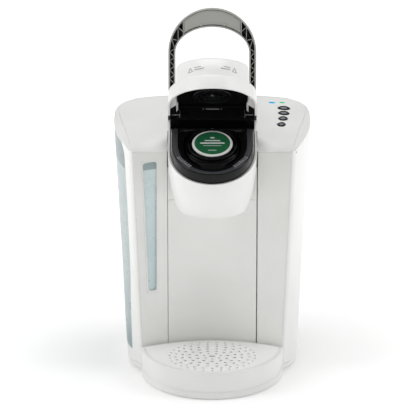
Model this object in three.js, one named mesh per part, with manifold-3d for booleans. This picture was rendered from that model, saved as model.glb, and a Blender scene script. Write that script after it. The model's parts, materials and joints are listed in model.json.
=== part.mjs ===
// Pod coffee machine, drawn with its lid and handle open.
// Millimetres, +Z up. The front looks along -Y, and the origin is on the floor
// under the middle of the machine.
import * as THREE from "three";
import { mergeVertices } from "three/addons/utils/BufferGeometryUtils.js";
import Module from "manifold-3d";

const wasm = await Module();
wasm.setup();

const DEG = Math.PI / 180;
const GAP = 0.3;

// Driving dimensions of the housing.
const BACK_Y = 147.5;
const WIDEST_Y = 70;
const FLOOR_HALF = 102;
const TOP_HALF = 118.6;
const SIDE_POWER = 2.4;
const REAR_POWER = 3.5;
const SHOULDER_Z = 290;
const FRONT_HALF_LOW = 87;
const FRONT_HALF_HIGH = 99.5;
const FRONT_HIGH_Z = 276;
const FRONT_MID_Y = -26.5;
const FRONT_SWEEP = 30.5;
const FRONT_SWEEP_HALF = 90;
const CROWN_Z = 294.5;
const CROWN_DROP = 13.5;
const WALL = 2.6;
const BASE_Z = 3;
const BASE_TOP = 10;
const FOOT_R = 9;
const CAP_DEPTH = 5.5;
const SEAM_X = 52.5;
const BAND = 6.3;
const REAR_COVER_HALF = 86;
const TALL = 330;
const CORNER = 9.5;
const FRONT_SPLIT_Z = 210.5;

// Driving dimensions of the brew head. Its parting plane leans down to the front.
const HEAD_TILT = 24 * DEG;
const HEAD_ORIGIN = new THREE.Vector3(0, -43, 305);
const HEAD_HALF = 51.4;
const HEAD_FRONT = 113;
const HEAD_MID = 51;
const HEAD_BACK_Y = -29.6;
const RING_HEIGHT = 12.5;
const LEDGE = 17;
const DOME_HALF = 42;
const DOME_FRONT = 98.4;
const DOME_MID = 68;
const DOME_TOP = 45.6;
const DOME_CREST = 62;
const DOME_TOP_BACK = 19;
const LID_BACK = 5;
const LID_WALL = 2.4;
const LID_OPEN = 58 * DEG;
const PIVOT_BACK = 4;
const PIVOT_UP = 9;
const PIN_R = 3;

// Driving dimensions of the handle.
const HANDLE_OPEN = 124 * DEG;
const HANDLE_REACH = 125;
const HANDLE_HALF = 51.4;
const HANDLE_INNER = 43.2;
const HANDLE_GRIP = 22;
const HANDLE_NOSE = 30.5;
const HANDLE_UNDER = 8.9;
const HANDLE_THICK = 12;

// Driving dimensions of the cup stand and the pod.
const TRAY_TOP = 34;
const TRAY_HALF = 85;
const TRAY_REACH = 99.5;
const TRAY_CENTRE_Y = -48;
const PLATE_INSET = 6;
const PLATE_THICK = 2;
const POD_R = 25;
const BORE_R = 27;
const SPOUT_Y = -80;
const PLATE_CENTRE_Y = -88;

// Driving dimensions of the parts inside.
const EAR_LOW = 37;
const EAR_HIGH = 42;
const TANK_X = -57.2;
const TANK_LOW = 33;
const TANK_BACK = 128;
const TANK_WALL = 2.3;
const VALVE_X = -82;
const VALVE_Y = 100;
const BOILER_Y = 62;
const COIL_R = 22;

const white = { color: 0xf1f1ef, roughness: 0.38, metalness: 0 };
const panelWhite = { color: 0xdcdcd9, roughness: 0.45, metalness: 0 };
const black = { color: 0x17171a, roughness: 0.3, metalness: 0 };
const silver = { color: 0x9b9b96, roughness: 0.4, metalness: 0.1 };
const water = { color: 0xbcd3d8, roughness: 0.12, metalness: 0, transparent: true, opacity: 0.5 };
const steel = { color: 0xb8bcc0, roughness: 0.3, metalness: 1 };
const rubber = { color: 0x26262a, roughness: 0.85, metalness: 0 };
const boardGreen = { color: 0x1c5a38, roughness: 0.55, metalness: 0 };
const podGreen = { color: 0x1c6b43, roughness: 0.4, metalness: 0 };
const blueLight = { color: 0x16a2cf, roughness: 0.3, metalness: 0 };
const greenLight = { color: 0x25c07a, roughness: 0.3, metalness: 0 };
const silicone = { color: 0xd9d6cc, roughness: 0.6, metalness: 0 };

const machine = new THREE.Group();

// ---- solids -------------------------------------------------------------

function solid(geometry) {
  const bare = geometry.clone();
  bare.deleteAttribute("normal");
  bare.deleteAttribute("uv");
  const merged = mergeVertices(bare, 1e-4);
  const vertProperties = Float32Array.from(merged.attributes.position.array);
  const triVerts = Uint32Array.from(merged.index.array);
  return new wasm.Manifold(new wasm.Mesh({ numProp: 3, vertProperties, triVerts }));
}

function surface(body) {
  const mesh = body.getMesh();
  const geometry = new THREE.BufferGeometry();
  geometry.setAttribute("position", new THREE.Float32BufferAttribute(mesh.vertProperties, 3));
  geometry.setIndex(Array.from(mesh.triVerts));
  const flat = geometry.toNonIndexed();
  flat.computeVertexNormals();
  return flat;
}

function add(name, body, look, group = machine) {
  const geometry = body.getMesh ? surface(body) : body;
  const mesh = new THREE.Mesh(geometry, new THREE.MeshStandardMaterial(look));
  mesh.name = name;
  group.add(mesh);
  return mesh;
}

function loft(rings) {
  const count = rings[0].length;
  const corners = rings.flat().flatMap((p) => [p.x, p.y, p.z]);
  const faces = [];
  for (let level = 0; level + 1 < rings.length; level += 1) {
    for (let i = 0; i < count; i += 1) {
      const a = level * count + i;
      const b = level * count + ((i + 1) % count);
      faces.push(a, b, b + count, a, b + count, a + count);
    }
  }
  const outline = rings[0].map((p) => new THREE.Vector2(p.x, p.y));
  const ends = THREE.ShapeUtils.triangulateShape(outline, []);
  const last = (rings.length - 1) * count;
  for (const [a, b, c] of ends) {
    faces.push(a, c, b);
    faces.push(last + a, last + b, last + c);
  }
  const geometry = new THREE.BufferGeometry();
  geometry.setAttribute("position", new THREE.Float32BufferAttribute(corners, 3));
  geometry.setIndex(faces);
  return solid(geometry);
}

function extrudeZ(points, low, high) {
  const shape = new THREE.Shape(points.map(([x, y]) => new THREE.Vector2(x, y)));
  const geometry = new THREE.ExtrudeGeometry(shape, { depth: high - low, bevelEnabled: false });
  geometry.translate(0, 0, low);
  return solid(geometry);
}

// The outline lies in X and Z, and the solid runs along Y.
function extrudeY(points, low, high) {
  const shape = new THREE.Shape(points.map(([x, z]) => new THREE.Vector2(x, z)));
  const geometry = new THREE.ExtrudeGeometry(shape, { depth: high - low, bevelEnabled: false });
  geometry.rotateX(Math.PI / 2);
  geometry.translate(0, high, 0);
  return solid(geometry);
}

// The outline lies in Y and Z, and the solid runs along X.
function extrudeX(points, low, high) {
  const shape = new THREE.Shape(points.map(([y, z]) => new THREE.Vector2(y, z)));
  const geometry = new THREE.ExtrudeGeometry(shape, { depth: high - low, bevelEnabled: false });
  geometry.applyMatrix4(new THREE.Matrix4().set(0, 0, 1, low, 1, 0, 0, 0, 0, 1, 0, 0, 0, 0, 0, 1));
  return solid(geometry);
}

function box(x0, x1, y0, y1, z0, z1) {
  const geometry = new THREE.BoxGeometry(x1 - x0, y1 - y0, z1 - z0);
  geometry.translate((x0 + x1) / 2, (y0 + y1) / 2, (z0 + z1) / 2);
  return solid(geometry);
}

function rod(radius, low, high, x, y, sides = 24, topRadius = radius) {
  const geometry = new THREE.CylinderGeometry(topRadius, radius, high - low, sides);
  geometry.rotateX(Math.PI / 2);
  geometry.translate(x, y, (low + high) / 2);
  return solid(geometry);
}

function rodX(radius, low, high, y, z, sides = 20) {
  const geometry = new THREE.CylinderGeometry(radius, radius, high - low, sides);
  geometry.rotateZ(Math.PI / 2);
  geometry.translate((low + high) / 2, y, z);
  return solid(geometry);
}

function turned(profile, sides = 28) {
  const points = profile.map(([r, z]) => new THREE.Vector2(r, z));
  const geometry = new THREE.LatheGeometry(points, sides);
  geometry.rotateX(Math.PI / 2);
  return solid(geometry);
}

function moved(body, x, y, z) {
  const geometry = surface(body);
  geometry.translate(x, y, z);
  return solid(geometry);
}

function mirrored(points) {
  return points.map(([x, z]) => [-x, z]).reverse();
}

// ---- housing outline ----------------------------------------------------

const clampTo = (value, low, high) => Math.min(high, Math.max(low, value));

function sideHalf(z) {
  const rise = clampTo(z / SHOULDER_Z, 0, 1.15);
  return FLOOR_HALF + (TOP_HALF - FLOOR_HALF) * rise ** 0.85;
}

function frontHalf(z) {
  return FRONT_HALF_LOW + (FRONT_HALF_HIGH - FRONT_HALF_LOW) * clampTo(z / FRONT_HIGH_Z, 0, 1.1);
}

function frontY(x) {
  return FRONT_MID_Y - FRONT_SWEEP * (x / FRONT_SWEEP_HALF) ** 2;
}

function topZ(y) {
  const back = clampTo((BACK_Y - y) / (BACK_Y + 57), 0, 1.1);
  return CROWN_Z - CROWN_DROP * back ** 2;
}

// Right half of the plan at height z, from the middle of the front to the back.
function halfPlan(z) {
  const front = frontHalf(z);
  const side = sideHalf(z);
  const points = [];
  for (let i = 1; i <= 5; i += 1) {
    const x = ((front - CORNER) * i) / 5;
    points.push([x, frontY(x)]);
  }
  const cornerY = frontY(front);
  points.push([front - CORNER * 0.28, cornerY + CORNER * 0.4]);
  for (let i = 0; i < 5; i += 1) {
    const t = i / 5;
    const y = cornerY + CORNER * 1.3 + (WIDEST_Y - cornerY - CORNER * 1.3) * t;
    points.push([front + (side - front) * (1 - (1 - t) ** SIDE_POWER), y]);
  }
  for (let i = 0; i < 9; i += 1) {
    const angle = (Math.PI / 2) * (i / 9);
    const x = side * Math.cos(angle) ** (2 / REAR_POWER);
    points.push([x, WIDEST_Y + (BACK_Y - WIDEST_Y) * Math.sin(angle) ** (2 / REAR_POWER)]);
  }
  return points;
}

function plan(z) {
  const half = halfPlan(z);
  const left = half.map(([x, y]) => [-x, y]).reverse();
  return [[0, frontY(0)], ...half, [0, BACK_Y], ...left];
}

function inset(points, distance) {
  const count = points.length;
  return points.map((point, i) => {
    const before = points[(i + count - 1) % count];
    const after = points[(i + 1) % count];
    const first = new THREE.Vector2(point[0] - before[0], point[1] - before[1]).normalize();
    const second = new THREE.Vector2(after[0] - point[0], after[1] - point[1]).normalize();
    const normal = new THREE.Vector2(-first.y - second.y, first.x + second.x).normalize();
    const stretch = distance / Math.max(0.5, normal.x * -first.y + normal.y * first.x);
    return [point[0] + normal.x * stretch, point[1] + normal.y * stretch];
  });
}

function housingLoft(distance, low, high = TALL) {
  const levels = [low, low + (high - low) * 0.3, low + (high - low) * 0.65, high];
  return loft(levels.map((z) => inset(plan(z), distance).map(([x, y]) => new THREE.Vector3(x, y, z))));
}

// Everything lower than the crown of the top, moved up or down by rise.
function underCrown(rise) {
  const points = [[-80, -10]];
  points.push([160, -10]);
  for (let i = 0; i <= 10; i += 1) {
    const y = 160 - 24 * i;
    points.push([y, topZ(y) + rise]);
  }
  return extrudeX(points, -150, 150);
}

const outerBody = housingLoft(0, BASE_TOP + GAP);
const skin = outerBody
  .subtract(housingLoft(WALL, BASE_TOP - 5))
  .intersect(underCrown(-CAP_DEPTH - GAP));

// ---- base ---------------------------------------------------------------

const feet = {
  front_left: [-62, -24],
  front_right: [62, -24],
  rear_left: [-70, 112],
  rear_right: [70, 112],
};

function makeBase() {
  const pan = housingLoft(0, BASE_Z, BASE_TOP).subtract(housingLoft(WALL, BASE_Z + WALL, BASE_TOP + 5));
  add("base_pan", pan, white);
  for (const [name, [x, y]] of Object.entries(feet)) {
    add(`foot_${name}`, rod(FOOT_R, 0, BASE_Z - GAP, x, y, 20), rubber);
  }
}

// ---- side shells and front panels ---------------------------------------

function bandCut(offset) {
  return [
    [frontHalf(0) - BAND - offset, 0],
    [200, 0],
    [200, 340],
    [frontHalf(TALL) - BAND - offset, 340],
    [frontHalf(FRONT_HIGH_Z) - BAND - offset, FRONT_HIGH_Z],
  ];
}

function makeSideShells() {
  const keepRight = extrudeY(bandCut(0), -100, 200);
  const keepLeft = extrudeY(mirrored(bandCut(0)), -100, 200);
  const rearZone = box(-REAR_COVER_HALF - GAP, REAR_COVER_HALF + GAP, 0, 200, 0, 340);
  add("right_side_shell", skin.intersect(keepRight).subtract(rearZone), white);
  const window = [[-36, 60], [-29, 32], [-10, 28], [96, 28], [104, 36], [104, 340], [-47, 340], [-38, 120]];
  const opening = extrudeX(window, -200, -60);
  add("left_frame", skin.intersect(keepLeft).subtract(rearZone).subtract(opening), white);
  const rear = box(-REAR_COVER_HALF, REAR_COVER_HALF, 60, 200, 0, 340);
  add("rear_cover", skin.intersect(rear), white);
}

const slotOutline = (grow) => [
  [-74 - grow, 101 - grow],
  [-67.5 + grow, 101 - grow],
  [-66.2 + grow, 104],
  [-65.6 + grow, 255],
  [-67.6 + grow, 259 + grow],
  [-78.8 - grow, 259 + grow],
  [-81.2 - grow, 255],
  [-75.4 - grow, 104],
];

function frontSlice(x0, x1, z0, z1) {
  return skin.intersect(box(x0, x1, -90, 0, z0, z1));
}

function makeFrontPanels() {
  const side = SEAM_X + GAP;
  const keepInside = extrudeY(bandCut(GAP), -100, 200);
  const keepInsideLeft = extrudeY(mirrored(bandCut(GAP)), -100, 200);
  add("right_front_panel", frontSlice(side, 120, 0, 340).subtract(keepInside), panelWhite);
  const bezelOuter = extrudeY(slotOutline(1.8), -100, 0);
  const slot = extrudeY(slotOutline(0), -100, 0);
  const panelCut = extrudeY(slotOutline(1.8 + GAP), -100, 0);
  const left = frontSlice(-120, -side, 0, 340).subtract(keepInsideLeft).subtract(panelCut);
  add("left_front_panel", left, panelWhite);
  add("slot_bezel", skin.intersect(bezelOuter).subtract(slot), white);
  const middle = SEAM_X - GAP;
  add("center_front_panel", frontSlice(-middle, middle, 0, FRONT_SPLIT_Z - GAP), panelWhite);
  add("head_back_panel", frontSlice(-middle, middle, FRONT_SPLIT_Z, 340), panelWhite);
}

// ---- top ----------------------------------------------------------------

const slopeAt = (y) => Math.atan2(topZ(y + 1) - topZ(y - 1), 2);

// Keys: name, middle, length across and length front to back.
const buttons = [
  { name: "power_button", x: 87, y: 86, across: 14, along: 14.5 },
  { name: "large_cup_button", x: 86.5, y: 65, across: 12.5, along: 14 },
  { name: "medium_cup_button", x: 85, y: 43.5, across: 10.5, along: 14 },
  { name: "small_cup_button", x: 82.5, y: 21, across: 9, along: 14 },
];
const lenses = [
  { name: "water_lens", x: 73, y: 108, across: 8.5, along: 7, look: blueLight },
  { name: "ready_lens", x: 85.5, y: 111, across: 7, along: 5.5, look: greenLight },
];

function keyBody(key, grow, low, high) {
  const geometry = new THREE.CylinderGeometry(0.5, 0.5, 1, 16);
  geometry.rotateX(Math.PI / 2);
  geometry.scale(key.across + 2 * grow, key.along + 2 * grow, high - low);
  geometry.translate(0, 0, (low + high) / 2);
  geometry.rotateX(slopeAt(key.y));
  geometry.translate(key.x, key.y, topZ(key.y));
  return solid(geometry);
}

function capShell() {
  const outer = outerBody.intersect(underCrown(0)).subtract(underCrown(-CAP_DEPTH));
  const hollow = housingLoft(WALL, BASE_TOP - 5).intersect(underCrown(-WALL));
  return outer.subtract(hollow);
}

function makeTop() {
  const caps = capShell();
  const side = SEAM_X + GAP;
  const wall = (x0, x1) => outerBody.intersect(underCrown(0)).subtract(underCrown(-CAP_DEPTH))
    .intersect(box(x0, x1, -90, 200, 0, 340));
  let control = caps.intersect(box(side, 140, -90, 200, 0, 340)).add(wall(side, side + WALL));
  for (const key of buttons) {
    control = control.subtract(keyBody(key, GAP, -12, 6));
  }
  for (const key of lenses) {
    control = control.subtract(keyBody(key, GAP, -12, 6));
  }
  add("control_cap", control, white);
  for (const key of buttons) {
    add(key.name, keyBody(key, 0, -4, 1.2), black);
  }
  for (const key of lenses) {
    add(key.name, keyBody(key, 0, -3, 0.4), key.look);
  }
  const lid = caps.intersect(box(-140, -side, -90, 200, 0, 340)).add(wall(-side - WALL, -side));
  add("reservoir_lid", lid, white);
}

function makeTopCover() {
  const middle = SEAM_X - 1;
  const rise = (y) => 314 - 0.08 * (y - HEAD_BACK_Y);
  const front = HEAD_BACK_Y + 1;
  const side = (drop, start) => extrudeX([
    [start, 0],
    [200, 0],
    [200, rise(200) - drop],
    [138, rise(138) - drop],
    [start, rise(start) - drop],
  ], -150, 150);
  const block = outerBody.intersect(side(0, front)).intersect(box(-middle, middle, -90, 200, 0, 340));
  const hollow = housingLoft(WALL, BASE_TOP - 5)
    .intersect(side(WALL, front + WALL))
    .intersect(box(-middle + WALL, middle - WALL, -90, 200, 0, 340));
  add("top_cover", block.subtract(underCrown(-CAP_DEPTH)).subtract(hollow), white);
}

// ---- brew head ----------------------------------------------------------

// A D-shaped plan: straight sides from back, then a blunt rounded nose.
// Forward is -Y, and both lengths are distances in front of the origin.
function nosePlan(half, back, mid, front, steps = 18) {
  const points = [[-half, -back]];
  for (let i = 0; i <= steps; i += 1) {
    const angle = Math.PI * (i / steps);
    const bulge = Math.sin(angle) ** 0.92;
    points.push([-half * Math.cos(angle), -mid - (front - mid) * bulge]);
  }
  points.push([half, -back]);
  return points;
}

function noseLoft(levels) {
  return loft(levels.map(([z, half, back, mid, front]) =>
    nosePlan(half, back, mid, front).map(([x, y]) => new THREE.Vector3(x, y, z))));
}

// Turns a solid from the head's own frame into the machine's frame.
function leaned(body) {
  const geometry = surface(body);
  geometry.rotateX(HEAD_TILT);
  geometry.translate(HEAD_ORIGIN.x, HEAD_ORIGIN.y, HEAD_ORIGIN.z);
  return solid(geometry);
}


function makeBrewCup() {
  const back = -HEAD_BACK_Y;
  const outer = noseLoft([
    [209, 33, back, 70, 108],
    [212, 39, back, 76, 116],
    [222, 43.5, back, 80, 125],
    [240, 47.5, back, 84, 136.5],
    [260, 50.4, back, 86, 145.5],
    [284, HEAD_HALF, back, 86, 148],
    [330, HEAD_HALF, back, 86, 148],
  ]);
  const inner = noseLoft([
    [212.5, 30, 20, 66, 100],
    [224, 40, 20, 78, 120],
    [240, 44.5, 20, 82, 133],
    [262, 47.8, 20, 84, 142.5],
    [284, HEAD_HALF - 2.4, 20, 85, 145],
    [335, HEAD_HALF - 2.4, 20, 85, 145],
  ]);
  const below = leaned(box(-90, 90, -200, 90, -200, -GAP));
  const cup = outer
    .subtract(inner)
    .intersect(below)
    .subtract(housingLoft(-GAP, 100))
    .subtract(rod(11, 190, 230, 0, SPOUT_Y, 24));
  add("brew_cup_shell", cup, white);
}

function makeBrewRing() {
  const outer = noseLoft([
    [0.2, 48.2, 16, HEAD_MID, 109.5],
    [9, 46.8, 16, HEAD_MID, 108],
    [RING_HEIGHT, 45, 17, HEAD_MID, 106],
  ]);
  const hollow = noseLoft([
    [-5, 45.8, 18.5, HEAD_MID, 107],
    [RING_HEIGHT - 3, 44, 18.5, HEAD_MID, 105],
  ]);
  const collar = rod(BORE_R + 2.5, -6, RING_HEIGHT - 2, 0, -HEAD_MID, 32);
  const bore = rod(BORE_R, -20, 20, 0, -HEAD_MID, 32);
  const ring = outer.subtract(hollow).add(collar).subtract(bore).intersect(ledgeSide(LID_WALL + 0.6));
  add("brew_ring", leaned(ring), black);
}

function makePodHolder() {
  const cup = turned([
    [0, -34], [20, -34], [22, -30], [26.2, 8], [26.2, 10], [23.4, 10], [23.4, 8], [20.4, -31], [5, -31.5],
    [0, -31.5],
  ]);
  const drain = rod(3.2, -40, -20, 0, -9, 12);
  add("pod_holder", leaned(moved(cup.subtract(drain), 0, -HEAD_MID, 0)), black);
  const needle = turned([[0, -31], [2.2, -31], [2.2, -29], [0.9, -29], [0, -24]], 12);
  add("exit_needle", leaned(moved(needle, 0, -HEAD_MID + 9, 0.2)), steel);
  const funnel = turned([
    [3, 206], [4.6, 206], [5, 220], [17, 233], [17, 235], [15.5, 235], [3.4, 221], [3, 206],
  ], 24);
  add("drip_funnel", moved(funnel, 0, SPOUT_Y, 0), black);
}

function makePod() {
  const body = turned([
    [0, -24], [18, -24], [18.6, -22.5], [22.4, 10.3], [POD_R, 10.3], [POD_R, 11.4], [22, 11.4], [17.2, -22.6],
    [0, -22.8],
  ], 32);
  add("pod_cup", leaned(moved(body, 0, -HEAD_MID, 0)), silicone);
  add("pod_foil", leaned(rod(POD_R - 0.6, 11.7, 12.1, 0, -HEAD_MID, 32)), podGreen);
}

// ---- hinge --------------------------------------------------------------

const pivot = new THREE.Vector3(0, PIVOT_BACK, PIVOT_UP).applyAxisAngle(new THREE.Vector3(1, 0, 0), HEAD_TILT)
  .add(HEAD_ORIGIN);

function makeHinge() {
  const ear = extrudeX([
    [pivot.y - 6, pivot.z - 2],
    [pivot.y - 4, pivot.z - 7],
    [pivot.y + 5, pivot.z - 26],
    [HEAD_BACK_Y - GAP, 286],
    [HEAD_BACK_Y - GAP, pivot.z - 1],
    [pivot.y + 6, pivot.z + 3],
    [pivot.y + 3, pivot.z + 6],
    [pivot.y - 3, pivot.z + 6],
    [pivot.y - 6, pivot.z + 2],
  ].reverse(), EAR_LOW, EAR_HIGH);
  const plate = box(-EAR_HIGH, EAR_HIGH, HEAD_BACK_Y - 3.6, HEAD_BACK_Y - GAP, 286, 306);
  const hole = rodX(PIN_R + 0.5, -60, 60, pivot.y, pivot.z);
  add("hinge_bracket", ear.add(moved(ear, -EAR_LOW - EAR_HIGH, 0, 0)).add(plate).subtract(hole), black);
  add("hinge_pin", rodX(PIN_R, -50.8, 50.8, pivot.y, pivot.z), steel);
}

// ---- lid ----------------------------------------------------------------

// The lid is drawn shut in the head's frame and then opened about the pivot.
const lidGroup = new THREE.Group();
lidGroup.position.copy(pivot);
lidGroup.rotation.x = HEAD_TILT - LID_OPEN;
const lidFrame = new THREE.Group();
lidFrame.position.set(0, -PIVOT_BACK, -PIVOT_UP);
lidGroup.add(lidFrame);
machine.add(lidGroup);

function domeTop(forward) {
  const t = clampTo((forward - LID_BACK) / (DOME_CREST - LID_BACK), -1, 1);
  return DOME_TOP_BACK + (DOME_TOP - DOME_TOP_BACK) * t;
}

function domeSide(drop) {
  return extrudeX([
    [-200, -50],
    [0, -50],
    [0, domeTop(0) - drop],
    [-DOME_CREST, DOME_TOP - drop],
    [-200, DOME_TOP - drop],
  ], -90, 90);
}

// The nose of the dome leans back with height, so the handle can swing over it.
// Each row holds a height, how far the middle moves back, and how far the nose does.
const domeLean = [
  [20, 1.2, 0.2],
  [30, 4.6, 1.9],
  [38, 7.2, 3.9],
  [DOME_TOP, 10.2, 6.5],
  [DOME_TOP + 20, 10.2, 6.5],
];

function domeLoft(shrink, low) {
  const rows = [[low, 0, 0], ...domeLean];
  return noseLoft(rows.map(([z, middle, nose]) =>
    [z, DOME_HALF - shrink, LID_BACK + shrink, DOME_MID - middle, DOME_FRONT - shrink - nose]));
}

function ledgeSide(drop) {
  return extrudeX([
    [-200, -50],
    [0, -50],
    [0, 1 - drop],
    [-LID_BACK, 3 - drop],
    [-34, LEDGE - drop],
    [-200, LEDGE - drop],
  ], -90, 90);
}

function makeLid() {
  const flange = noseLoft([
    [0.2, HEAD_HALF, LID_BACK, HEAD_MID, HEAD_FRONT],
    [LEDGE + 1, HEAD_HALF - 0.6, LID_BACK, HEAD_MID, HEAD_FRONT - 2],
  ]).intersect(ledgeSide(0));
  const dome = domeLoft(0, 0.2).intersect(domeSide(0));
  const flangeHollow = noseLoft([
    [-5, HEAD_HALF - LID_WALL, LID_BACK + LID_WALL, HEAD_MID, HEAD_FRONT - LID_WALL],
    [LEDGE - LID_WALL, HEAD_HALF - LID_WALL - 0.6, LID_BACK + LID_WALL, HEAD_MID, HEAD_FRONT - 2 - LID_WALL],
  ]).intersect(ledgeSide(LID_WALL));
  const domeHollow = domeLoft(LID_WALL, -5).intersect(domeSide(LID_WALL));
  const earOutline = [
    [-LID_BACK - 6, 2], [PIVOT_BACK - 4, 3], [PIVOT_BACK + 4, 5], [PIVOT_BACK + 6, 9], [PIVOT_BACK + 4, 13],
    [PIVOT_BACK - 2, 14.6], [-LID_BACK - 6, 13],
  ].reverse();
  const ears = extrudeX(earOutline, 30.5, 36.5).add(extrudeX(earOutline, -36.5, -30.5));
  const pinHole = rodX(PIN_R + 0.5, -60, 60, PIVOT_BACK, PIVOT_UP);
  const sides = flange.subtract(flangeHollow);
  const shell = sides.add(dome).subtract(domeHollow).subtract(flangeHollow).add(ears).subtract(pinHole);
  add("lid_shell", shell, white, lidFrame);
  const linerLow = 14.9;
  const liner = noseLoft([
    [linerLow, DOME_HALF - LID_WALL - 0.5, 12, DOME_MID, DOME_FRONT - LID_WALL - 0.5],
    [linerLow + 2.4, DOME_HALF - LID_WALL - 0.5, 12, DOME_MID, DOME_FRONT - LID_WALL - 0.5],
  ]).subtract(rod(5, 0, 40, 0, -HEAD_MID, 16)).intersect(domeSide(LID_WALL + 0.5));
  add("lid_liner", liner, black, lidFrame);
  const puck = turned([[3, 13.2], [21, 13.2], [22, 14], [22, 14.6], [3, 14.6], [3, 13.2]], 28);
  add("pod_press_plate", moved(puck, 0, -HEAD_MID, 0), black, lidFrame);
  const needle = turned([[0, 12.6], [1.2, 14], [1.2, 17.6], [4, 17.6], [4, 22], [0, 22]], 14);
  add("entrance_needle", moved(needle, 0, -HEAD_MID, 0), steel, lidFrame);
  const sealRing = turned([[1.6, 15], [2.7, 15], [2.7, 17.2], [1.6, 17.2], [1.6, 15]], 14);
  add("needle_seal", moved(sealRing, 0, -HEAD_MID, 0), silicone, lidFrame);
}

// ---- handle -------------------------------------------------------------

const handleGroup = new THREE.Group();
handleGroup.position.copy(pivot);
handleGroup.rotation.x = HEAD_TILT - HANDLE_OPEN;
machine.add(handleGroup);

function handlePlan(half, reach, back, front) {
  const points = [[-half, back]];
  const steps = 22;
  for (let i = 0; i <= steps; i += 1) {
    const angle = Math.PI * (i / steps);
    points.push([-half * Math.cos(angle), -reach - (front - reach) * Math.sin(angle)]);
  }
  points.push([half, back]);
  return points;
}

function makeHandle() {
  const under = HANDLE_UNDER;
  const over = under + HANDLE_THICK;
  const outline = [
    [7, -1], [5, 5.5], [0, 8], [-16, over], [-200, over], [-200, under], [-36, under], [-7, -2.5], [-4, -6.2],
    [2, -6.8], [6, -4.5],
  ];
  const side = extrudeX(outline, -90, 90);
  const outer = extrudeZ(handlePlan(HANDLE_HALF, HANDLE_REACH - HANDLE_HALF, 20, HANDLE_REACH), -30, 60);
  const innerFront = HANDLE_REACH - HANDLE_GRIP;
  const inner = extrudeZ(handlePlan(HANDLE_INNER, innerFront - HANDLE_NOSE, 30, innerFront), -40, 70);
  const bow = outer.subtract(inner).intersect(side);
  const pocketOuter = handlePlan(HANDLE_HALF - 2.4, HANDLE_REACH - HANDLE_HALF, -14, HANDLE_REACH - 2.4);
  const pocketInner = handlePlan(HANDLE_INNER + 2, innerFront - HANDLE_NOSE, 10, innerFront + 2);
  const pocket = extrudeZ(pocketOuter, under - 5, over - 2.4).subtract(extrudeZ(pocketInner, -40, 70));
  const hole = rodX(PIN_R + 0.5, -60, 60, 0, 0);
  add("handle", bow.subtract(pocket).subtract(hole), silver, handleGroup);
  const padOuter = handlePlan(HANDLE_HALF - 2.8, HANDLE_REACH - HANDLE_HALF, -14, HANDLE_REACH - 2.8);
  const padInner = handlePlan(HANDLE_INNER + 2.4, innerFront - HANDLE_NOSE, 10, innerFront + 2.4);
  const pad = extrudeZ(padOuter, under + 0.6, over - 2.8)
    .subtract(extrudeZ(padInner, -40, 70))
    .intersect(box(-33, 33, -200, -90, -40, 70));
  add("handle_grip", pad, silver, handleGroup);
}

// ---- cup stand ----------------------------------------------------------

function trayPlan(shrink) {
  const points = [];
  const steps = 28;
  for (let i = 0; i <= steps; i += 1) {
    const angle = Math.PI * (i / steps);
    points.push([
      -(TRAY_HALF - shrink) * Math.cos(angle),
      TRAY_CENTRE_Y - (TRAY_REACH - shrink) * Math.sin(angle),
    ]);
  }
  const usable = points.filter(([x, y]) => y < frontY(x) - 2 - shrink);
  const end = usable[usable.length - 1][0];
  const backSteps = 10;
  for (let i = 0; i <= backSteps; i += 1) {
    const x = end - (2 * end * i) / backSteps;
    usable.push([x, frontY(x) - 1 - shrink]);
  }
  return usable;
}

function cleaned(points) {
  return points.filter(([x, y], i) => {
    const [px, py] = points[(i + points.length - 1) % points.length];
    return Math.hypot(x - px, y - py) > 0.5;
  });
}

const holeRings = [[0, 1], [18, 8], [29, 16], [40, 24], [49.5, 32]];

function makeTray() {
  const rim = PLATE_INSET;
  const outer = extrudeZ(cleaned(trayPlan(0)), 1, TRAY_TOP);
  const well = extrudeZ(cleaned(trayPlan(rim)), 4, TRAY_TOP + 5);
  const ledge = extrudeZ(cleaned(trayPlan(rim - 2)), TRAY_TOP - PLATE_THICK - 0.4, TRAY_TOP + 5);
  add("drip_tray", outer.subtract(well).subtract(ledge), white);
  const shape = new THREE.Shape(cleaned(trayPlan(rim - 1.7)).map(([x, y]) => new THREE.Vector2(x, y)));
  for (const [radius, count] of holeRings) {
    for (let i = 0; i < count; i += 1) {
      const angle = (2 * Math.PI * (i + 0.5)) / count;
      const hole = new THREE.Path();
      const size = radius === 0 ? 2.6 : 1.5;
      const cx = radius * Math.sin(angle);
      const cy = PLATE_CENTRE_Y + radius * Math.cos(angle);
      for (let k = 0; k < 6; k += 1) {
        const turn = (Math.PI * k) / 3;
        const point = [cx + size * Math.cos(turn), cy + size * Math.sin(turn)];
        if (k === 0) {
          hole.moveTo(...point);
        } else {
          hole.lineTo(...point);
        }
      }
      hole.closePath();
      shape.holes.push(hole);
    }
  }
  const plate = new THREE.ExtrudeGeometry(shape, { depth: PLATE_THICK, bevelEnabled: false });
  plate.translate(0, 0, TRAY_TOP - PLATE_THICK - 0.1);
  add("cup_plate", solid(plate), white);
}

// ---- reservoir ----------------------------------------------------------

function makeReservoir() {
  const outer = housingLoft(WALL + 0.9, TANK_LOW)
    .intersect(underCrown(-CAP_DEPTH - 2))
    .intersect(box(-140, TANK_X, -90, TANK_BACK, TANK_LOW, 340));
  const inner = housingLoft(WALL + 0.9 + TANK_WALL, TANK_LOW + 3)
    .intersect(box(-140, TANK_X - TANK_WALL, -90, TANK_BACK - TANK_WALL, TANK_LOW + 3, 340));
  const port = rod(5, 20, 60, VALVE_X, VALVE_Y, 16);
  add("reservoir_tank", outer.subtract(inner).subtract(port), water);
  const valve = turned([[0, 29.4], [3, 29.4], [3, 36.5], [8.5, 36.5], [8.5, 38.5], [0, 38.5]], 18);
  add("reservoir_valve", moved(valve, VALVE_X, VALVE_Y, 0.2), rubber);
}

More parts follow.
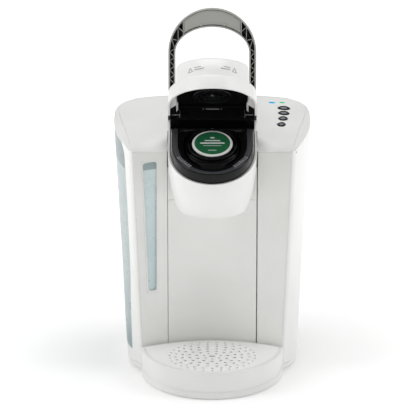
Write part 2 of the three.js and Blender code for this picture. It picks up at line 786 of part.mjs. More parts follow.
function makeBay() {
  const floor = housingLoft(WALL + 0.6, 25, 29).intersect(box(-140, TANK_X, -90, 122, 20, 29));
  add("reservoir_bay_floor", floor.subtract(rod(6, 20, 40, VALVE_X, VALVE_Y, 18)), white);
  const wall = box(-56.4, -54, -33, 124, 12, 270).subtract(rodX(7, -70, -40, 94, 23));
  add("reservoir_bay_wall", wall, white);
  const seat = turned([[3.6, 18], [9, 18], [9, 24], [5.6, 24.5], [5.6, 28], [3.6, 28], [3.6, 18]], 18);
  add("valve_seat", moved(seat, VALVE_X, VALVE_Y, 0.2), rubber);
}

// ---- inside -------------------------------------------------------------

function makeInside() {
  const tank = turned([
    [0, 148], [30, 148], [38, 156], [38, 226], [35.5, 226], [35.5, 157], [29, 150.5], [0, 150.5],
  ], 28);
  add("hot_water_tank", moved(tank, 0, BOILER_Y, 0), steel);
  const lid = turned([[0, 226.4], [40, 226.4], [40, 231], [10, 236], [0, 236]], 28);
  add("tank_lid", moved(lid, 0, BOILER_Y, 0), black);
  add("heating_element", makeElement(), steel);
  add("thermostat", rodX(7, 38.6, 46, BOILER_Y, 180, 16), black);
  add("thermal_fuse", box(-5, 5, BOILER_Y + 38.6, BOILER_Y + 42, 176, 200), silicone);
  const pump = rodX(15, -30, 14, 40, 46, 20).add(rodX(19, 14, 34, 40, 46, 20));
  add("water_pump", pump, steel);
  const airPump = rodX(12, -24, 8, 96, 44, 20).add(box(8, 30, 82, 110, 30, 58));
  add("air_pump", airPump, black);
  add("check_valve", rod(7, 108, 132, -22, 96, 14), silicone);
  add("vent_valve", box(18, 40, 96, 116, 244, 266), black);
  add("control_board", box(64, 104, 20, 96, 262, 263.6), boardGreen);
  add("power_board", box(60, 61.8, 0, 90, 70, 150), boardGreen);
  add("mains_inlet", box(56, 78, 106, 122, 26, 44), black);
  add("cold_water_hose", hose([[-70, 94, 21], [-54, 94, 23], [-42, 78, 40], [-36, 46, 46]], 3), silicone);
  add("hot_water_hose", hose([[0, 62, 240], [0, 40, 262], [0, 6, 282], [0, -16, 292]], 3), silicone);
}

function makeElement() {
  const points = [];
  for (let i = 0; i <= 24; i += 1) {
    const angle = (4 * Math.PI * i) / 24;
    const x = COIL_R * Math.cos(angle);
    points.push(new THREE.Vector3(x, BOILER_Y + COIL_R * Math.sin(angle), 158 + i));
  }
  return tube(new THREE.CatmullRomCurve3(points), 3, 28);
}

function tube(curve, radius, steps) {
  const shape = new THREE.Shape();
  shape.absarc(0, 0, radius, 0, 2 * Math.PI, false);
  const settings = { steps, curveSegments: 4, bevelEnabled: false, extrudePath: curve };
  return solid(new THREE.ExtrudeGeometry(shape, settings));
}

function hose(points, radius) {
  const curve = new THREE.CatmullRomCurve3(points.map(([x, y, z]) => new THREE.Vector3(x, y, z)));
  return tube(curve, radius, 16);
}

makeBase();
makeSideShells();
makeFrontPanels();
makeTop();
makeTopCover();
makeBrewCup();
makeBrewRing();
makePodHolder();
makePod();
makeHinge();
makeLid();
makeHandle();
makeTray();
makeReservoir();
makeBay();
makeInside();

export default machine;
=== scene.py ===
"""Looks of a pod coffee machine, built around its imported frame.

Lengths are millimetres until a mesh is made. The machine faces -Y and stands on Z = 0.
"""
import json
import math

import bmesh
import bpy
from mathutils import Matrix, Vector


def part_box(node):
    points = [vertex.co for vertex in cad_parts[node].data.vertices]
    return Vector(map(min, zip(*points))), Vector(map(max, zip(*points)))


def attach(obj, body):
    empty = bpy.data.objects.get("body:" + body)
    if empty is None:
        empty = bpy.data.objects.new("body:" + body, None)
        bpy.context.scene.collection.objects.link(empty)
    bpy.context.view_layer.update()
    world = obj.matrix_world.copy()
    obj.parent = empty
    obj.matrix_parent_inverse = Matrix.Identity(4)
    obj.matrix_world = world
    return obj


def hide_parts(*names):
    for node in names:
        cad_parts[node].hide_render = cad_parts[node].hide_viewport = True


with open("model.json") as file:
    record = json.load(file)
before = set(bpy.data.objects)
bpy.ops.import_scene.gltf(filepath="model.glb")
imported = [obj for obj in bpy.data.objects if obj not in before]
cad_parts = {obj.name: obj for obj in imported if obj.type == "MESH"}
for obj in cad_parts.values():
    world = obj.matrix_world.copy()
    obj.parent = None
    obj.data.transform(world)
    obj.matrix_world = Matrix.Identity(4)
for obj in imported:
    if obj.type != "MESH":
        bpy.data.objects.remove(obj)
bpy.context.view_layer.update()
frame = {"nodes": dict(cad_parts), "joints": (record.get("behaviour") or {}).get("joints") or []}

MM = 0.001
HALF_TURN = math.pi


def corners(node):
    """Lowest and highest corner of a node, in millimetres."""
    low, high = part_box(node)
    return low / MM, high / MM


def hinge_point(name):
    joint = next(j for j in frame["joints"] if j["name"] == name)
    return Vector(joint["pos_m"]) / MM


# ---- places taken from the frame ----------------------------------------

BACK_Y = corners("rear_cover")[1].y
TOP_HALF = corners("right_side_shell")[1].x
TANK_LOW, TANK_HIGH = corners("reservoir_tank")
TRAY_LOW, TRAY_HIGH = corners("drip_tray")
PIVOT = hinge_point("handle_hinge")

# ---- driving dimensions of the housing ----------------------------------

WIDEST_Y = 70
FLOOR_HALF = 102
SHOULDER_Z = 290
RIM_Z = 282
SIDE_POWER = 2.4
FLOOR_POWER = 6
FLOOR_FADE = 110
REAR_POWER = 3.5
FRONT_HALF_LOW = 88
FRONT_HALF_HIGH = 99.5
FRONT_HIGH_Z = 276
FRONT_MID_Y = -26.5
FRONT_SWEEP = 30.5
FRONT_SWEEP_HALF = 90
CORNER = 9.5
CROWN_Z = 294.5
CROWN_DROP = 13.5
CROWN_LENGTH = 204.5
CROWN_SIDE_DROP = 3.5
SEAM_X = 52.5
BAND = 6.3
REAR_COVER_HALF = 86
WALL = 2.6
PANEL_LOW = 10.3
SPLIT_Z = 210.5
SEAM = 0.3

# ---- driving dimensions of the brew head --------------------------------

HEAD_TILT = math.radians(24)
HEAD_ORIGIN = Vector((0, -43, 305))
POD_FORWARD = 51
LID_OPEN = math.radians(58)
HANDLE_OPEN = math.radians(124)
PIVOT_BACK = 4
PIVOT_UP = 9
LID_BACK = 5
LEDGE = 17
HEAD_HALF = 51.4
HEAD_FRONT = 113
DOME_HALF = 42
DOME_FRONT = 98.4
DOME_MID = 68
DOME_TOP = 45.6
DOME_CREST = 62
DOME_TOP_BACK = 19

# ---- driving dimensions of the handle -----------------------------------

HANDLE_HALF = 51.4
HANDLE_REACH = 125
HANDLE_INNER = 43.2
HANDLE_GRIP = 22
HANDLE_UNDER = 8.9
HANDLE_OVER = 20.9


# ---- small maths --------------------------------------------------------

def clamp(value, low=0.0, high=1.0):
    return max(low, min(high, value))


def mix(a, b, t):
    return a + (b - a) * t


def ease(t):
    t = clamp(t)
    return t * t * (3 - 2 * t)


def spread(low, high, count):
    """count + 1 evenly spaced numbers from low to high."""
    return [mix(low, high, i / count) for i in range(count + 1)]


def joined(*spans):
    """Spreads end to end, each given as (low, high, count), with no number doubled."""
    return [spans[0][0]] + [number for span in spans for number in spread(*span)[1:]]


def stops(x, points):
    """Smooth curve through a few (x, value) stops."""
    if x <= points[0][0]:
        return points[0][1]
    for (x0, v0), (x1, v1) in zip(points, points[1:]):
        if x <= x1:
            return mix(v0, v1, ease((x - x0) / (x1 - x0)))
    return points[-1][1]


def along(line, fraction):
    """Point at a fraction of the length of a polyline."""
    lengths = [(b - a).length for a, b in zip(line, line[1:])]
    wanted = sum(lengths) * fraction
    for a, b, length in zip(line, line[1:], lengths):
        if wanted <= length or b is line[-1]:
            return a.lerp(b, clamp(wanted / max(length, 1e-6)))
        wanted -= length
    return line[-1]


# ---- meshes -------------------------------------------------------------

def link_object(name, data):
    made = bpy.data.objects.new(name, data)
    bpy.context.scene.collection.objects.link(made)
    return made


def new_piece(name, points, faces, look, body, slot, stands_for=(), inside=None):
    """Makes a mesh object from points in millimetres and lets it ride on its body."""
    mesh = bpy.data.meshes.new(name)
    mesh.from_pydata([Vector(p) * MM for p in points], [], faces)
    bm = bmesh.new()
    bm.from_mesh(mesh)
    bmesh.ops.remove_doubles(bm, verts=bm.verts, dist=0.004 * MM)
    bmesh.ops.recalc_face_normals(bm, faces=bm.faces)
    if inside is not None:
        core = Vector(inside) * MM
        outward = sum(f.normal.dot(f.calc_center_median() - core) * f.calc_area() for f in bm.faces)
        if outward < 0:
            bmesh.ops.reverse_faces(bm, faces=bm.faces)
    for face in bm.faces:
        face.smooth = True
    bm.to_mesh(mesh)
    bm.free()
    mesh.materials.append(look)
    piece = link_object(name, mesh)
    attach(piece, body)
    if stands_for:
        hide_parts(*stands_for)
    return piece


def grid_faces(columns, rows, hole=None):
    """Quads of a grid whose points run row by row inside each column, less those of a hole."""
    faces = []
    for i in range(columns - 1):
        for j in range(rows - 1):
            if hole and hole[0] <= i < hole[1] and hole[2] <= j < hole[3]:
                continue
            a = i * rows + j
            faces.append((a, a + rows, a + rows + 1, a + 1))
    return faces


def shifted(faces, start):
    """Faces whose point numbers count from start."""
    return [tuple(start + k for k in face) for face in faces]


def thicken(piece, depth, even=True):
    """Gives an open surface a wall of that depth on its inner side."""
    shell = piece.modifiers.new("wall", "SOLIDIFY")
    shell.thickness = depth * MM
    shell.offset = -1
    shell.use_even_offset = even
    shell.use_quality_normals = True
    return piece


def bevelled(piece, width, angle):
    bevel = piece.modifiers.new("edges", "BEVEL")
    bevel.width = width * MM
    bevel.segments = 2
    bevel.limit_method = "ANGLE"
    bevel.angle_limit = math.radians(angle)
    return bevel


def soften(piece, width, angle=38):
    """Rounds the crisp edges a little, as a mould does."""
    bevelled(piece, width, angle).miter_outer = "MITER_ARC"
    piece.modifiers.new("normals", "WEIGHTED_NORMAL").keep_sharp = True


def loops_mesh(loops, close_first=False, close_last=False):
    """Points and faces of closed loops of equal length, joined one to the next."""
    count = len(loops[0])
    points = [p for loop in loops for p in loop]
    faces = []
    for level in range(len(loops) - 1):
        for i in range(count):
            a, b = level * count + i, level * count + (i + 1) % count
            faces.append((a, b, b + count, a + count))
    if close_first:
        faces.append(tuple(range(count))[::-1])
    if close_last:
        faces.append(tuple(range(len(points) - count, len(points))))
    return points, faces


def circle(radius, count, centre=(0, 0)):
    angles = [2 * HALF_TURN * i / count for i in range(count)]
    return [(centre[0] + radius * math.cos(a), centre[1] + radius * math.sin(a)) for a in angles]


BOX_FACES = [(0, 1, 3, 2), (4, 6, 7, 5), (0, 4, 5, 1), (2, 3, 7, 6), (0, 2, 6, 4), (1, 5, 7, 3)]


def blocks_mesh(boxes, place):
    """Points and faces of several blocks, each moved into the machine by place."""
    points, faces = [], []
    for low, high in boxes:
        faces += shifted(BOX_FACES, len(points))
        points += [place(x, y, z) for x in (low[0], high[0]) for y in (low[1], high[1])
                   for z in (low[2], high[2])]
    return points, faces


# ---- materials ----------------------------------------------------------

def feed(tree, inputs, **values):
    """Sets inputs by name, with _ for a space: an output is linked, and a value is set."""
    for name, value in values.items():
        socket = inputs[name.replace("_", " ")]
        if isinstance(value, bpy.types.NodeSocket):
            tree.links.new(value, socket)
        else:
            socket.default_value = value


def add_node(tree, kind, **values):
    node = tree.nodes.new("ShaderNode" + kind)
    feed(tree, node.inputs, **values)
    return node


def new_material(name):
    """A material with its node tree, its shader's inputs and the object's own coordinates."""
    material = bpy.data.materials.new(name)
    material.use_nodes = True
    tree = material.node_tree
    return material, tree, tree.nodes["Principled BSDF"].inputs, add_node(tree, "TexCoord").outputs["Object"]


def noise(tree, place, scale, detail):
    return add_node(tree, "TexNoise", Vector=place, Scale=scale, Detail=detail).outputs["Fac"]


def ramp(tree, fac, colour_stops):
    node = add_node(tree, "ValToRGB", Fac=fac)
    elements = node.color_ramp.elements
    for element, (position, colour) in zip(elements, (colour_stops[0], colour_stops[-1])):
        element.position, element.color = position, (*colour, 1)
    for position, colour in colour_stops[1:-1]:
        elements.new(position).color = (*colour, 1)
    return node.outputs["Color"]


def map_range(tree, value, low, high, to_low=0, to_high=1):
    node = add_node(tree, "MapRange", Value=value, From_Min=low, From_Max=high, To_Min=to_low, To_Max=to_high)
    return node.outputs["Result"]


def uneven(tree, fac, low, high):
    """A value that wanders between low and high with a noise."""
    return map_range(tree, fac, 0.3, 0.7, low, high)


def multiplied(tree, a, b, factor):
    node = tree.nodes.new("ShaderNodeMix")
    node.data_type, node.blend_type = "RGBA", "MULTIPLY"
    feed(tree, node.inputs, Factor=factor, A=a, B=b)
    return node.outputs["Result"]


def bump(tree, shader, height, strength, depth):
    node = add_node(tree, "Bump", Height=height, Strength=strength, Distance=depth * MM)
    feed(tree, shader, Normal=node.outputs["Normal"])


def tint(colour, factor):
    return tuple(c * factor for c in colour)


def moulded(name, colour, rough, grain=900, depth=0.02, mottle=0.03, coat=0.0, specular=0.5):
    """Moulded plastic: faint mottle in the colour, uneven gloss and a fine tool grain."""
    material, tree, shader, place = new_material(name)
    cloud = noise(tree, place, 14, 4)
    fine = noise(tree, place, grain, 2)
    colours = [(0.35, tint(colour, 1 - mottle)), (0.5, colour), (0.65, tint(colour, 1 + mottle * 0.5))]
    bump(tree, shader, fine, 0.35, depth)
    feed(tree, shader, Base_Color=ramp(tree, cloud, colours), Coat_Weight=coat, Coat_Roughness=0.12,
         Roughness=uneven(tree, fine, rough * 0.9, rough * 1.12), Specular_IOR_Level=specular)
    return material


def metal(name, colour, rough):
    """Drawn steel with fine stretched lines."""
    material, tree, shader, place = new_material(name)
    stretch = add_node(tree, "Mapping", Scale=(30, 900, 900), Vector=place)
    lines = noise(tree, stretch.outputs["Vector"], 1, 4)
    bump(tree, shader, lines, 0.2, 0.02)
    feed(tree, shader, Base_Color=ramp(tree, lines, [(0.3, tint(colour, 0.86)), (0.7, colour)]), Metallic=1,
         Roughness=uneven(tree, lines, rough * 0.8, rough * 1.3))
    return material


def clear_plastic(name):
    """Tinted tank plastic: paler where it is full of water, greyer above the water line and
    darker towards the side window, where shade is painted into its colour."""
    material, tree, shader, place = new_material(name)
    split = add_node(tree, "SeparateXYZ", Vector=place).outputs
    height = map_range(tree, split["Z"], TANK_LOW.z * MM, TANK_HIGH.z * MM)
    line = (WATER_LEVEL - TANK_LOW.z) / (TANK_HIGH.z - TANK_LOW.z)
    base = ramp(tree, height, [
        (0.0, (0.46, 0.58, 0.60)), (0.10, (0.70, 0.83, 0.84)), (line - 0.004, (0.82, 0.93, 0.94)),
        (line, (0.43, 0.53, 0.54)), (1.0, (0.50, 0.60, 0.60)),
    ])
    cloud = noise(tree, place, 30, 3)
    mottle = ramp(tree, cloud, [(0.35, (0.9, 0.93, 0.94)), (0.65, (1, 1, 1))])
    # Painted shade: the colour darkens towards the tank's outer side, at the side window.
    aside = map_range(tree, split["X"], SIDE_SHADE_OUT * MM, SIDE_SHADE_IN * MM, SIDE_SHADE)
    feed(tree, shader, Base_Color=multiplied(tree, multiplied(tree, base, mottle, 0.5), aside, 1),
         Roughness=uneven(tree, cloud, 0.25, 0.35), Transmission_Weight=0.15, IOR=1.33,
         Specular_IOR_Level=0.2)
    return material


def glowing(name, colour, strength):
    """A small lit lens: coloured plastic with a soft glow and an uneven core."""
    material, tree, shader, place = new_material(name)
    cloud = noise(tree, place, 400, 2)
    base = ramp(tree, cloud, [(0.3, tint(colour, 0.75)), (0.7, colour)])
    feed(tree, shader, Base_Color=base, Emission_Color=base, Emission_Strength=strength,
         Roughness=uneven(tree, cloud, 0.2, 0.3))
    return material


WATER_LEVEL = 250
# The tank's colour is multiplied by this painted shade at its outer side and by less and less further in.
SIDE_SHADE = 0.62
SIDE_SHADE_OUT = -98
SIDE_SHADE_IN = -84

WHITE = moulded("white_moulded", (0.80, 0.80, 0.785), 0.34, coat=0.15)
# The plate is the same white plastic, painted lighter to make up for the head's shade falling on it.
PLATE_LIT_WHITE = moulded("plate_painted_light", (0.90, 0.90, 0.885), 0.4)
PANEL = moulded("panel_moulded", (0.82, 0.82, 0.80), 0.46, grain=700, depth=0.03)
BLACK = moulded("black_gloss", (0.004, 0.004, 0.0045), 0.16, grain=600, specular=0.2)
DEEP_BLACK = moulded("black_deep", (0.004, 0.004, 0.004), 0.35, grain=600, specular=0.12)
MATTE_BLACK = moulded("black_matte", (0.036, 0.038, 0.043), 0.45, grain=800, depth=0.04, specular=0.35)
SILVER = moulded("silver_grey", (0.37, 0.37, 0.345), 0.42, grain=1000, depth=0.02)
# Painted shade: a near black put in hollows and gaps that are only in shadow.
CAVITY_SHADE = moulded("painted_cavity_shade", (0.03, 0.03, 0.03), 0.6)
# Grey for the printed lid marks and the side pin, and as painted shade on the tray's inner floor.
GREY_MARKS_AND_SHADE = moulded("grey_marks_and_shade", (0.36, 0.36, 0.35), 0.6)
# Grey for the raised marks on the ring, and for glints and highlights painted on the lid's black skirt.
MARKS_AND_GLINTS = moulded("grey_marks_and_glints", (0.32, 0.32, 0.33), 0.5)
MARK_WHITE = moulded("mark_white", (0.78, 0.80, 0.77), 0.5)
POD_GREEN = moulded("pod_green", (0.012, 0.125, 0.048), 0.42, grain=500, mottle=0.12)
POD_WHITE = moulded("pod_white", (0.80, 0.80, 0.78), 0.35)
# A painted highlight: the lighter middle of each black key.
KEY_SHEEN = moulded("key_painted_sheen", (0.16, 0.18, 0.20), 0.25, coat=0.4)
RUBBER = moulded("rubber_dark", (0.03, 0.03, 0.032), 0.8, grain=500, depth=0.06)
SILICONE = moulded("silicone_pale", (0.66, 0.64, 0.58), 0.55)
BOARD = moulded("board_green", (0.02, 0.13, 0.05), 0.5, grain=300, mottle=0.15)
STEEL = metal("drawn_steel", (0.62, 0.63, 0.65), 0.28)
DARK_STEEL = metal("dark_steel", (0.10, 0.10, 0.11), 0.45)
CLEAR = clear_plastic("tank_plastic")
BLUE_LIGHT = glowing("blue_lens", (0.0, 0.33, 0.62), 0.5)
GREEN_LIGHT = glowing("green_lens", (0.02, 0.46, 0.20), 0.4)


# ---- housing surface ----------------------------------------------------

def side_half(z):
    return FLOOR_HALF + (TOP_HALF - FLOOR_HALF) * clamp(z / SHOULDER_Z, 0, 1.15) ** 0.85


def front_half(z):
    return FRONT_HALF_LOW + (FRONT_HALF_HIGH - FRONT_HALF_LOW) * clamp(z / FRONT_HIGH_Z, 0, 1.1)


def front_y(x):
    return FRONT_MID_Y - FRONT_SWEEP * (x / FRONT_SWEEP_HALF) ** 2


def wall(turn, z, side=1, inward=0.0):
    """Point of the outer wall. turn runs 0 to 1 along half the front, to 2 round the
    front corner, to 3 at the widest place and to 4 at the middle of the back."""
    if inward:
        a, b = wall(turn - 0.01, z), wall(turn + 0.01, z)
        tangent = (b - a).normalized()
        point = wall(turn, z) + Vector((-tangent.y, tangent.x, 0)) * inward
        return Vector((side * point.x, point.y, z))
    front, half = front_half(z), side_half(z)
    corner_y = front_y(front)
    if turn <= 1:
        x = turn * (front - CORNER)
        y = front_y(x)
    elif turn <= 2:
        t = turn - 1
        a = Vector((front - CORNER, front_y(front - CORNER)))
        b = Vector((front - CORNER * 0.41, corner_y + CORNER * 0.16))
        c = Vector((front, corner_y + CORNER * 1.3))
        x, y = a * (1 - t) ** 2 + b * 2 * t * (1 - t) + c * t * t
    elif turn <= 3:
        t = turn - 2
        start = corner_y + CORNER * 1.3
        x = front + (half - front) * (1 - (1 - t) ** mix(FLOOR_POWER, SIDE_POWER, clamp(z / FLOOR_FADE)))
        y = start + (WIDEST_Y - start) * t
    else:
        angle = (turn - 3) * HALF_TURN / 2
        c, s = math.cos(angle), math.sin(angle)
        reach = 1 / (abs(c) ** REAR_POWER + abs(s) ** REAR_POWER) ** (1 / REAR_POWER)
        x = half * reach * c
        y = WIDEST_Y + (BACK_Y - WIDEST_Y) * reach * s
    return Vector((side * x, y, z))


def turn_where(low, high, z, passed):
    """The turn between low and high where passed(point) first becomes true."""
    for _ in range(24):
        middle = (low + high) / 2
        low, high = (low, middle) if passed(wall(middle, z)) else (middle, high)
    return high


def crown(x, y):
    """Height of the top, which falls to the front and a little to the sides."""
    top = CROWN_Z - CROWN_DROP * clamp((BACK_Y - y) / CROWN_LENGTH, 0, 1.1) ** 2
    return top - CROWN_SIDE_DROP * clamp((abs(x) - SEAM_X) / 60)


TURN_BAND = turn_where(1, 2, FRONT_HIGH_Z, lambda p: p.x > front_half(FRONT_HIGH_Z) - BAND)
TURN_COVER = turn_where(3, 4, RIM_Z, lambda p: p.x < REAR_COVER_HALF)
TURN_REAR_SEAM = turn_where(3, 4, RIM_Z, lambda p: p.x < SEAM_X + SEAM)
CAP_LOW_Z = 275.5
SEAM_FALL = 0.28
FRONT_ROLL = 34
REAR_ROLL = 4
REAR_DROP = 2.5
CAP_GAP = 0.15
# How far the crease between the top and the side band lies inside the wall, at a few turns.
CREASE_IN = (
    (TURN_BAND, 0), (1.55, 4.4), (2.0, 5.4), (2.25, 9.6), (2.52, 11), (2.75, 8.5), (3.05, 5.5), (3.3, 2.6),
    (4.0, 2.4),
)
# Height of the upper edge of the wall under the band, at a few turns.
WALL_TOP = (
    (TURN_BAND, CAP_LOW_Z), (1.6, 276.3), (1.85, 277), (2.0, 277.6), (2.22, 280.6), (2.5, 283), (2.78, 285),
    (3.0, 286.4), (3.3, 286.6), (4, 287.5),
)


def cap_low(x):
    """Height of the caps' front edge, which falls as the front wall sweeps back."""
    edge = front_half(FRONT_HIGH_Z) - BAND
    return CAP_LOW_Z - SEAM_FALL * (front_y(min(abs(x), edge)) - front_y(edge))


def top_height(x, y):
    """Height of the caps: the crown, rolled over at the front."""
    depth = clamp((y - front_y(x)) / FRONT_ROLL)
    return mix(crown(x, y), cap_low(x), (1 - depth) ** 2.2)


def crease_point(turn):
    """Point of the line where the top ends and the band of the side shell begins."""
    spot = wall(turn, RIM_Z, 1, max(stops(turn, CREASE_IN), 0.001))
    return Vector((spot.x, spot.y, top_height(spot.x, spot.y)))


def mirror(point, side):
    return Vector((point.x * side, point.y, point.z))


CORE = Vector((0, 45, 150))


def band_line(turn, side_turn, steps):
    """From the crease over the band and its rounded edge down to the top of the wall."""
    start, z = crease_point(turn), stops(turn, WALL_TOP)
    end = wall(side_turn(z), z)
    knee = Vector((mix(start.x, end.x, 0.93), mix(start.y, end.y, 0.93), mix(start.z, end.z, 0.5)))
    return [start * (1 - t) ** 2 + knee * 2 * t * (1 - t) + end * t * t for t in spread(0, 1, steps)]


def side_shell_points(side, turn_at, sections, upper_rows, lower_rows):
    """Grid of a side shell. Columns are sections (numbers given to turn_at with a height);
    rows run from the crease down: first over the band, then down the wall."""
    points = []
    for section in sections:
        line = band_line(turn_at(section, RIM_Z), lambda z: turn_at(section, z), upper_rows)
        foot = line[-1].z
        for f in spread(0, 1, lower_rows)[1:]:
            z = mix(foot, PANEL_LOW, f)
            line.append(wall(turn_at(section, z), z))
        points += [mirror(p, side) for p in line]
    return points, len(sections), upper_rows + 1 + lower_rows


def outer_wall(name, points, faces, look, slot, node, edge=0.5, even=True):
    """A wall of the housing: an outer surface, thickened inwards, with soft edges."""
    piece = new_piece(name, points, faces, look, "housing", slot, [node], CORE)
    soften(thicken(piece, WALL, even), edge)


def band_turn(z):
    return turn_where(1, 2, z, lambda p: p.x > front_half(z) - BAND)


def rear_turn(z):
    return turn_where(3, 4, z, lambda p: p.x < REAR_COVER_HALF + SEAM)


def make_right_shell():
    sections = joined((0, 1, 10), (1, 2, 30))

    def turn_at(section, z):
        if section <= 1:
            return mix(band_turn(z), 2.0, section)
        return mix(2.0, rear_turn(z), section - 1)

    points, columns, rows = side_shell_points(1, turn_at, sections, 8, 24)
    outer_wall("side_shell_right", points, grid_faces(columns, rows), WHITE, "white_plastic",
               "right_side_shell", 0.4, even=False)


WINDOW_LOW = 24
WINDOW_BACK_Y = 98
WINDOW_FRONT_Y = -39.5
WINDOW_SWEEP = 16.5
WINDOW_SWEEP_MOST = 7.5
WINDOW_SWEEP_Z = 264
WINDOW_SWEEP_TALL = 242
WINDOW_HOOK = 14
WINDOW_HOOK_Z = 266
WINDOW_HOOK_TALL = 16
WINDOW_TOP = 281


def window_front_turn(z):
    """The window's front edge leans back towards the floor and, near the top, towards the back."""
    sweep = min(WINDOW_SWEEP * clamp((WINDOW_SWEEP_Z - z) / WINDOW_SWEEP_TALL) ** 2, WINDOW_SWEEP_MOST)
    hook = WINDOW_HOOK * clamp((z - WINDOW_HOOK_Z) / WINDOW_HOOK_TALL) ** 1.5
    return turn_where(1.2, 3.2, z, lambda p: p.y > WINDOW_FRONT_Y + sweep + hook)


def window_back_turn(z):
    return turn_where(3, 4, z, lambda p: p.y > WINDOW_BACK_Y)


def make_left_frame():
    """The left shell, whose faces between the window's edges are a clear pane."""
    pillar, glass, rear = 8, 22, 8
    sections = joined((0, 1, pillar), (1, 2, glass), (2, 3, rear))

    def turn_at(section, z):
        edges = (band_turn(z), window_front_turn(min(z, WINDOW_TOP)), window_back_turn(z), rear_turn(z))
        part = min(2, int(section))
        return mix(edges[part], edges[part + 1], section - part)

    upper, lower = 8, 30
    points, columns, rows = side_shell_points(-1, turn_at, sections, upper, lower)
    sill = 3
    for column, section in enumerate(sections):
        start = column * rows + upper
        foot = points[start].z
        for k in range(1, lower + 1):
            below = k - lower + sill
            z = mix(foot, WINDOW_LOW, (k / (lower - sill)) ** 1.8)
            if below > 0:
                z = mix(WINDOW_LOW, PANEL_LOW, below / sill)
            points[start + k] = wall(turn_at(section, z), z, -1)
    shell = new_piece(
        "side_frame_left", points, grid_faces(columns, rows), WHITE, "housing", "white_plastic",
        ["left_frame"], CORE)
    shell.data.materials.append(CLEAR)
    for face in shell.data.polygons:
        column, row = divmod(min(face.vertices), rows)
        if pillar <= column < pillar + glass and upper < row < rows - sill - 1:
            face.material_index = 1
    soften(thicken(shell, WALL, even=False), 0.4)


def make_rear_cover():
    def turn_at(section, z):
        edge = turn_where(3, 4, z, lambda p: p.x < REAR_COVER_HALF)
        return mix(edge, 4, section)

    half = spread(0, 1, 12)
    points = []
    for side in (1, -1):
        order = half if side == 1 else half[::-1][1:]
        for section in order:
            turn = turn_at(section, RIM_Z)
            top = stops(turn, WALL_TOP) - SEAM
            for f in spread(0, 1, 22):
                z = mix(top, PANEL_LOW, f)
                points.append(wall(turn_at(section, z), z, side))
    columns = 2 * len(half) - 1
    outer_wall("rear_cover_panel", points, grid_faces(columns, 23), WHITE, "white_plastic", "rear_cover")


def front_wall(x, z):
    """Point of the front wall at x, which may lie in the front corner."""
    turn = turn_where(0, 2, z, lambda p: p.x > abs(x))
    return wall(turn, z, 1 if x > 0 else -1)


def front_panel_grid(side, x_at, z_at, columns, rows):
    return [mirror(front_wall(x_at(u, z), z), side) for u in columns for z in (z_at(u, v) for v in rows)]


SIDE_SLIT = 0.9


def make_right_panel():
    def x_at(u, z):
        return mix(SEAM_X + SIDE_SLIT, front_half(z) - BAND - SEAM, u)

    def z_at(u, v):
        return mix(PANEL_LOW, cap_low(x_at(u, FRONT_HIGH_Z)) - SIDE_SLIT, v)

    columns, rows = spread(0, 1, 10), spread(0, 1, 22)
    points = front_panel_grid(1, x_at, z_at, columns, rows)
    outer_wall("front_panel_right", points, grid_faces(11, 23), PANEL, "panel_plastic", "right_front_panel")


# The sight slot in the left panel: (height, inner x, outer x) at its two ends.
SLOT_LOW = (101, 66.2, 75.3)
SLOT_HIGH = (259, 65.5, 81.3)
SLOT_RIM = 1.9
SLOT_ROUND = 3.0


def slot_edges(z, grow=0.0):
    t = (z - SLOT_LOW[0]) / (SLOT_HIGH[0] - SLOT_LOW[0])
    return mix(SLOT_LOW[1], SLOT_HIGH[1], t) - grow, mix(SLOT_LOW[2], SLOT_HIGH[2], t) + grow


def make_left_panel():
    def x_at(u, z):
        inner, outer = slot_edges(z, SLOT_RIM)
        edges = (SEAM_X + SEAM, inner, outer, front_half(z) - BAND - SEAM)
        part = min(2, int(u))
        return mix(edges[part], edges[part + 1], u - part)

    def z_at(u, v):
        top = cap_low(x_at(u, FRONT_HIGH_Z)) - SEAM
        heights = (PANEL_LOW, SLOT_LOW[0] - SLOT_RIM, SLOT_HIGH[0] + SLOT_RIM, top)
        part = min(2, int(v))
        return mix(heights[part], heights[part + 1], v - part)

    columns = joined((0, 1, 4), (1, 2, 4), (2, 3, 5))
    rows = joined((0, 1, 8), (1, 2, 14), (2, 3, 3))
    points = front_panel_grid(-1, x_at, z_at, columns, rows)
    faces = grid_faces(len(columns), len(rows), hole=(4, 8, 8, 22))
    outer_wall("front_panel_left", points, faces, PANEL, "panel_plastic", "left_front_panel")


def slot_outline(grow):
    """Rounded outline of the slot as (x, z), going round once."""
    low, high = SLOT_LOW[0] - grow, SLOT_HIGH[0] + grow
    radius = max(0.6, SLOT_ROUND - grow)
    per_corner, per_side = 6, 14
    corners_at = []
    for z, step in ((low, 1), (high, -1)):
        inner, outer = slot_edges(z, grow)
        corners_at.append(((-inner - radius, z + step * radius), (-outer + radius, z + step * radius)))
    (a, b), (d, c) = corners_at[0], corners_at[1]
    points = []
    for centre, start in ((a, -90), (d, 0), (c, 90), (b, 180)):
        for k in range(per_corner + 1):
            angle = math.radians(start + 90 * k / per_corner)
            points.append((centre[0] + radius * math.cos(angle), centre[1] + radius * math.sin(angle)))
        if start in (0, 180):
            continue
        following = d if start == -90 else b
        edge = (following[0] + radius * math.cos(math.radians(start + 90)), following[1])
        last = points[-1]
        for k in range(1, per_side):
            t = k / per_side
            points.append((mix(last[0], edge[0], t), mix(last[1], edge[1], t)))
    return points


def make_slot_bezel():
    """A raised rim around the slot whose inner face runs back to the tank."""
    profile = ((0.2, 1.6), (0.2, 0.35), (-0.25, 0.0), (-0.9, -0.12), (-1.5, 0.1), (-1.9, 0.6), (-1.9, 3.4))
    points, faces = loops_mesh([
        [front_wall(x, z) + Vector((0, depth, 0)) for x, z in slot_outline(SLOT_RIM + shrink)]
        for shrink, depth in profile
    ])
    new_piece(
        "slot_rim", points, faces, WHITE, "housing", "white_plastic", ["slot_bezel"], (-73, -200, 180))


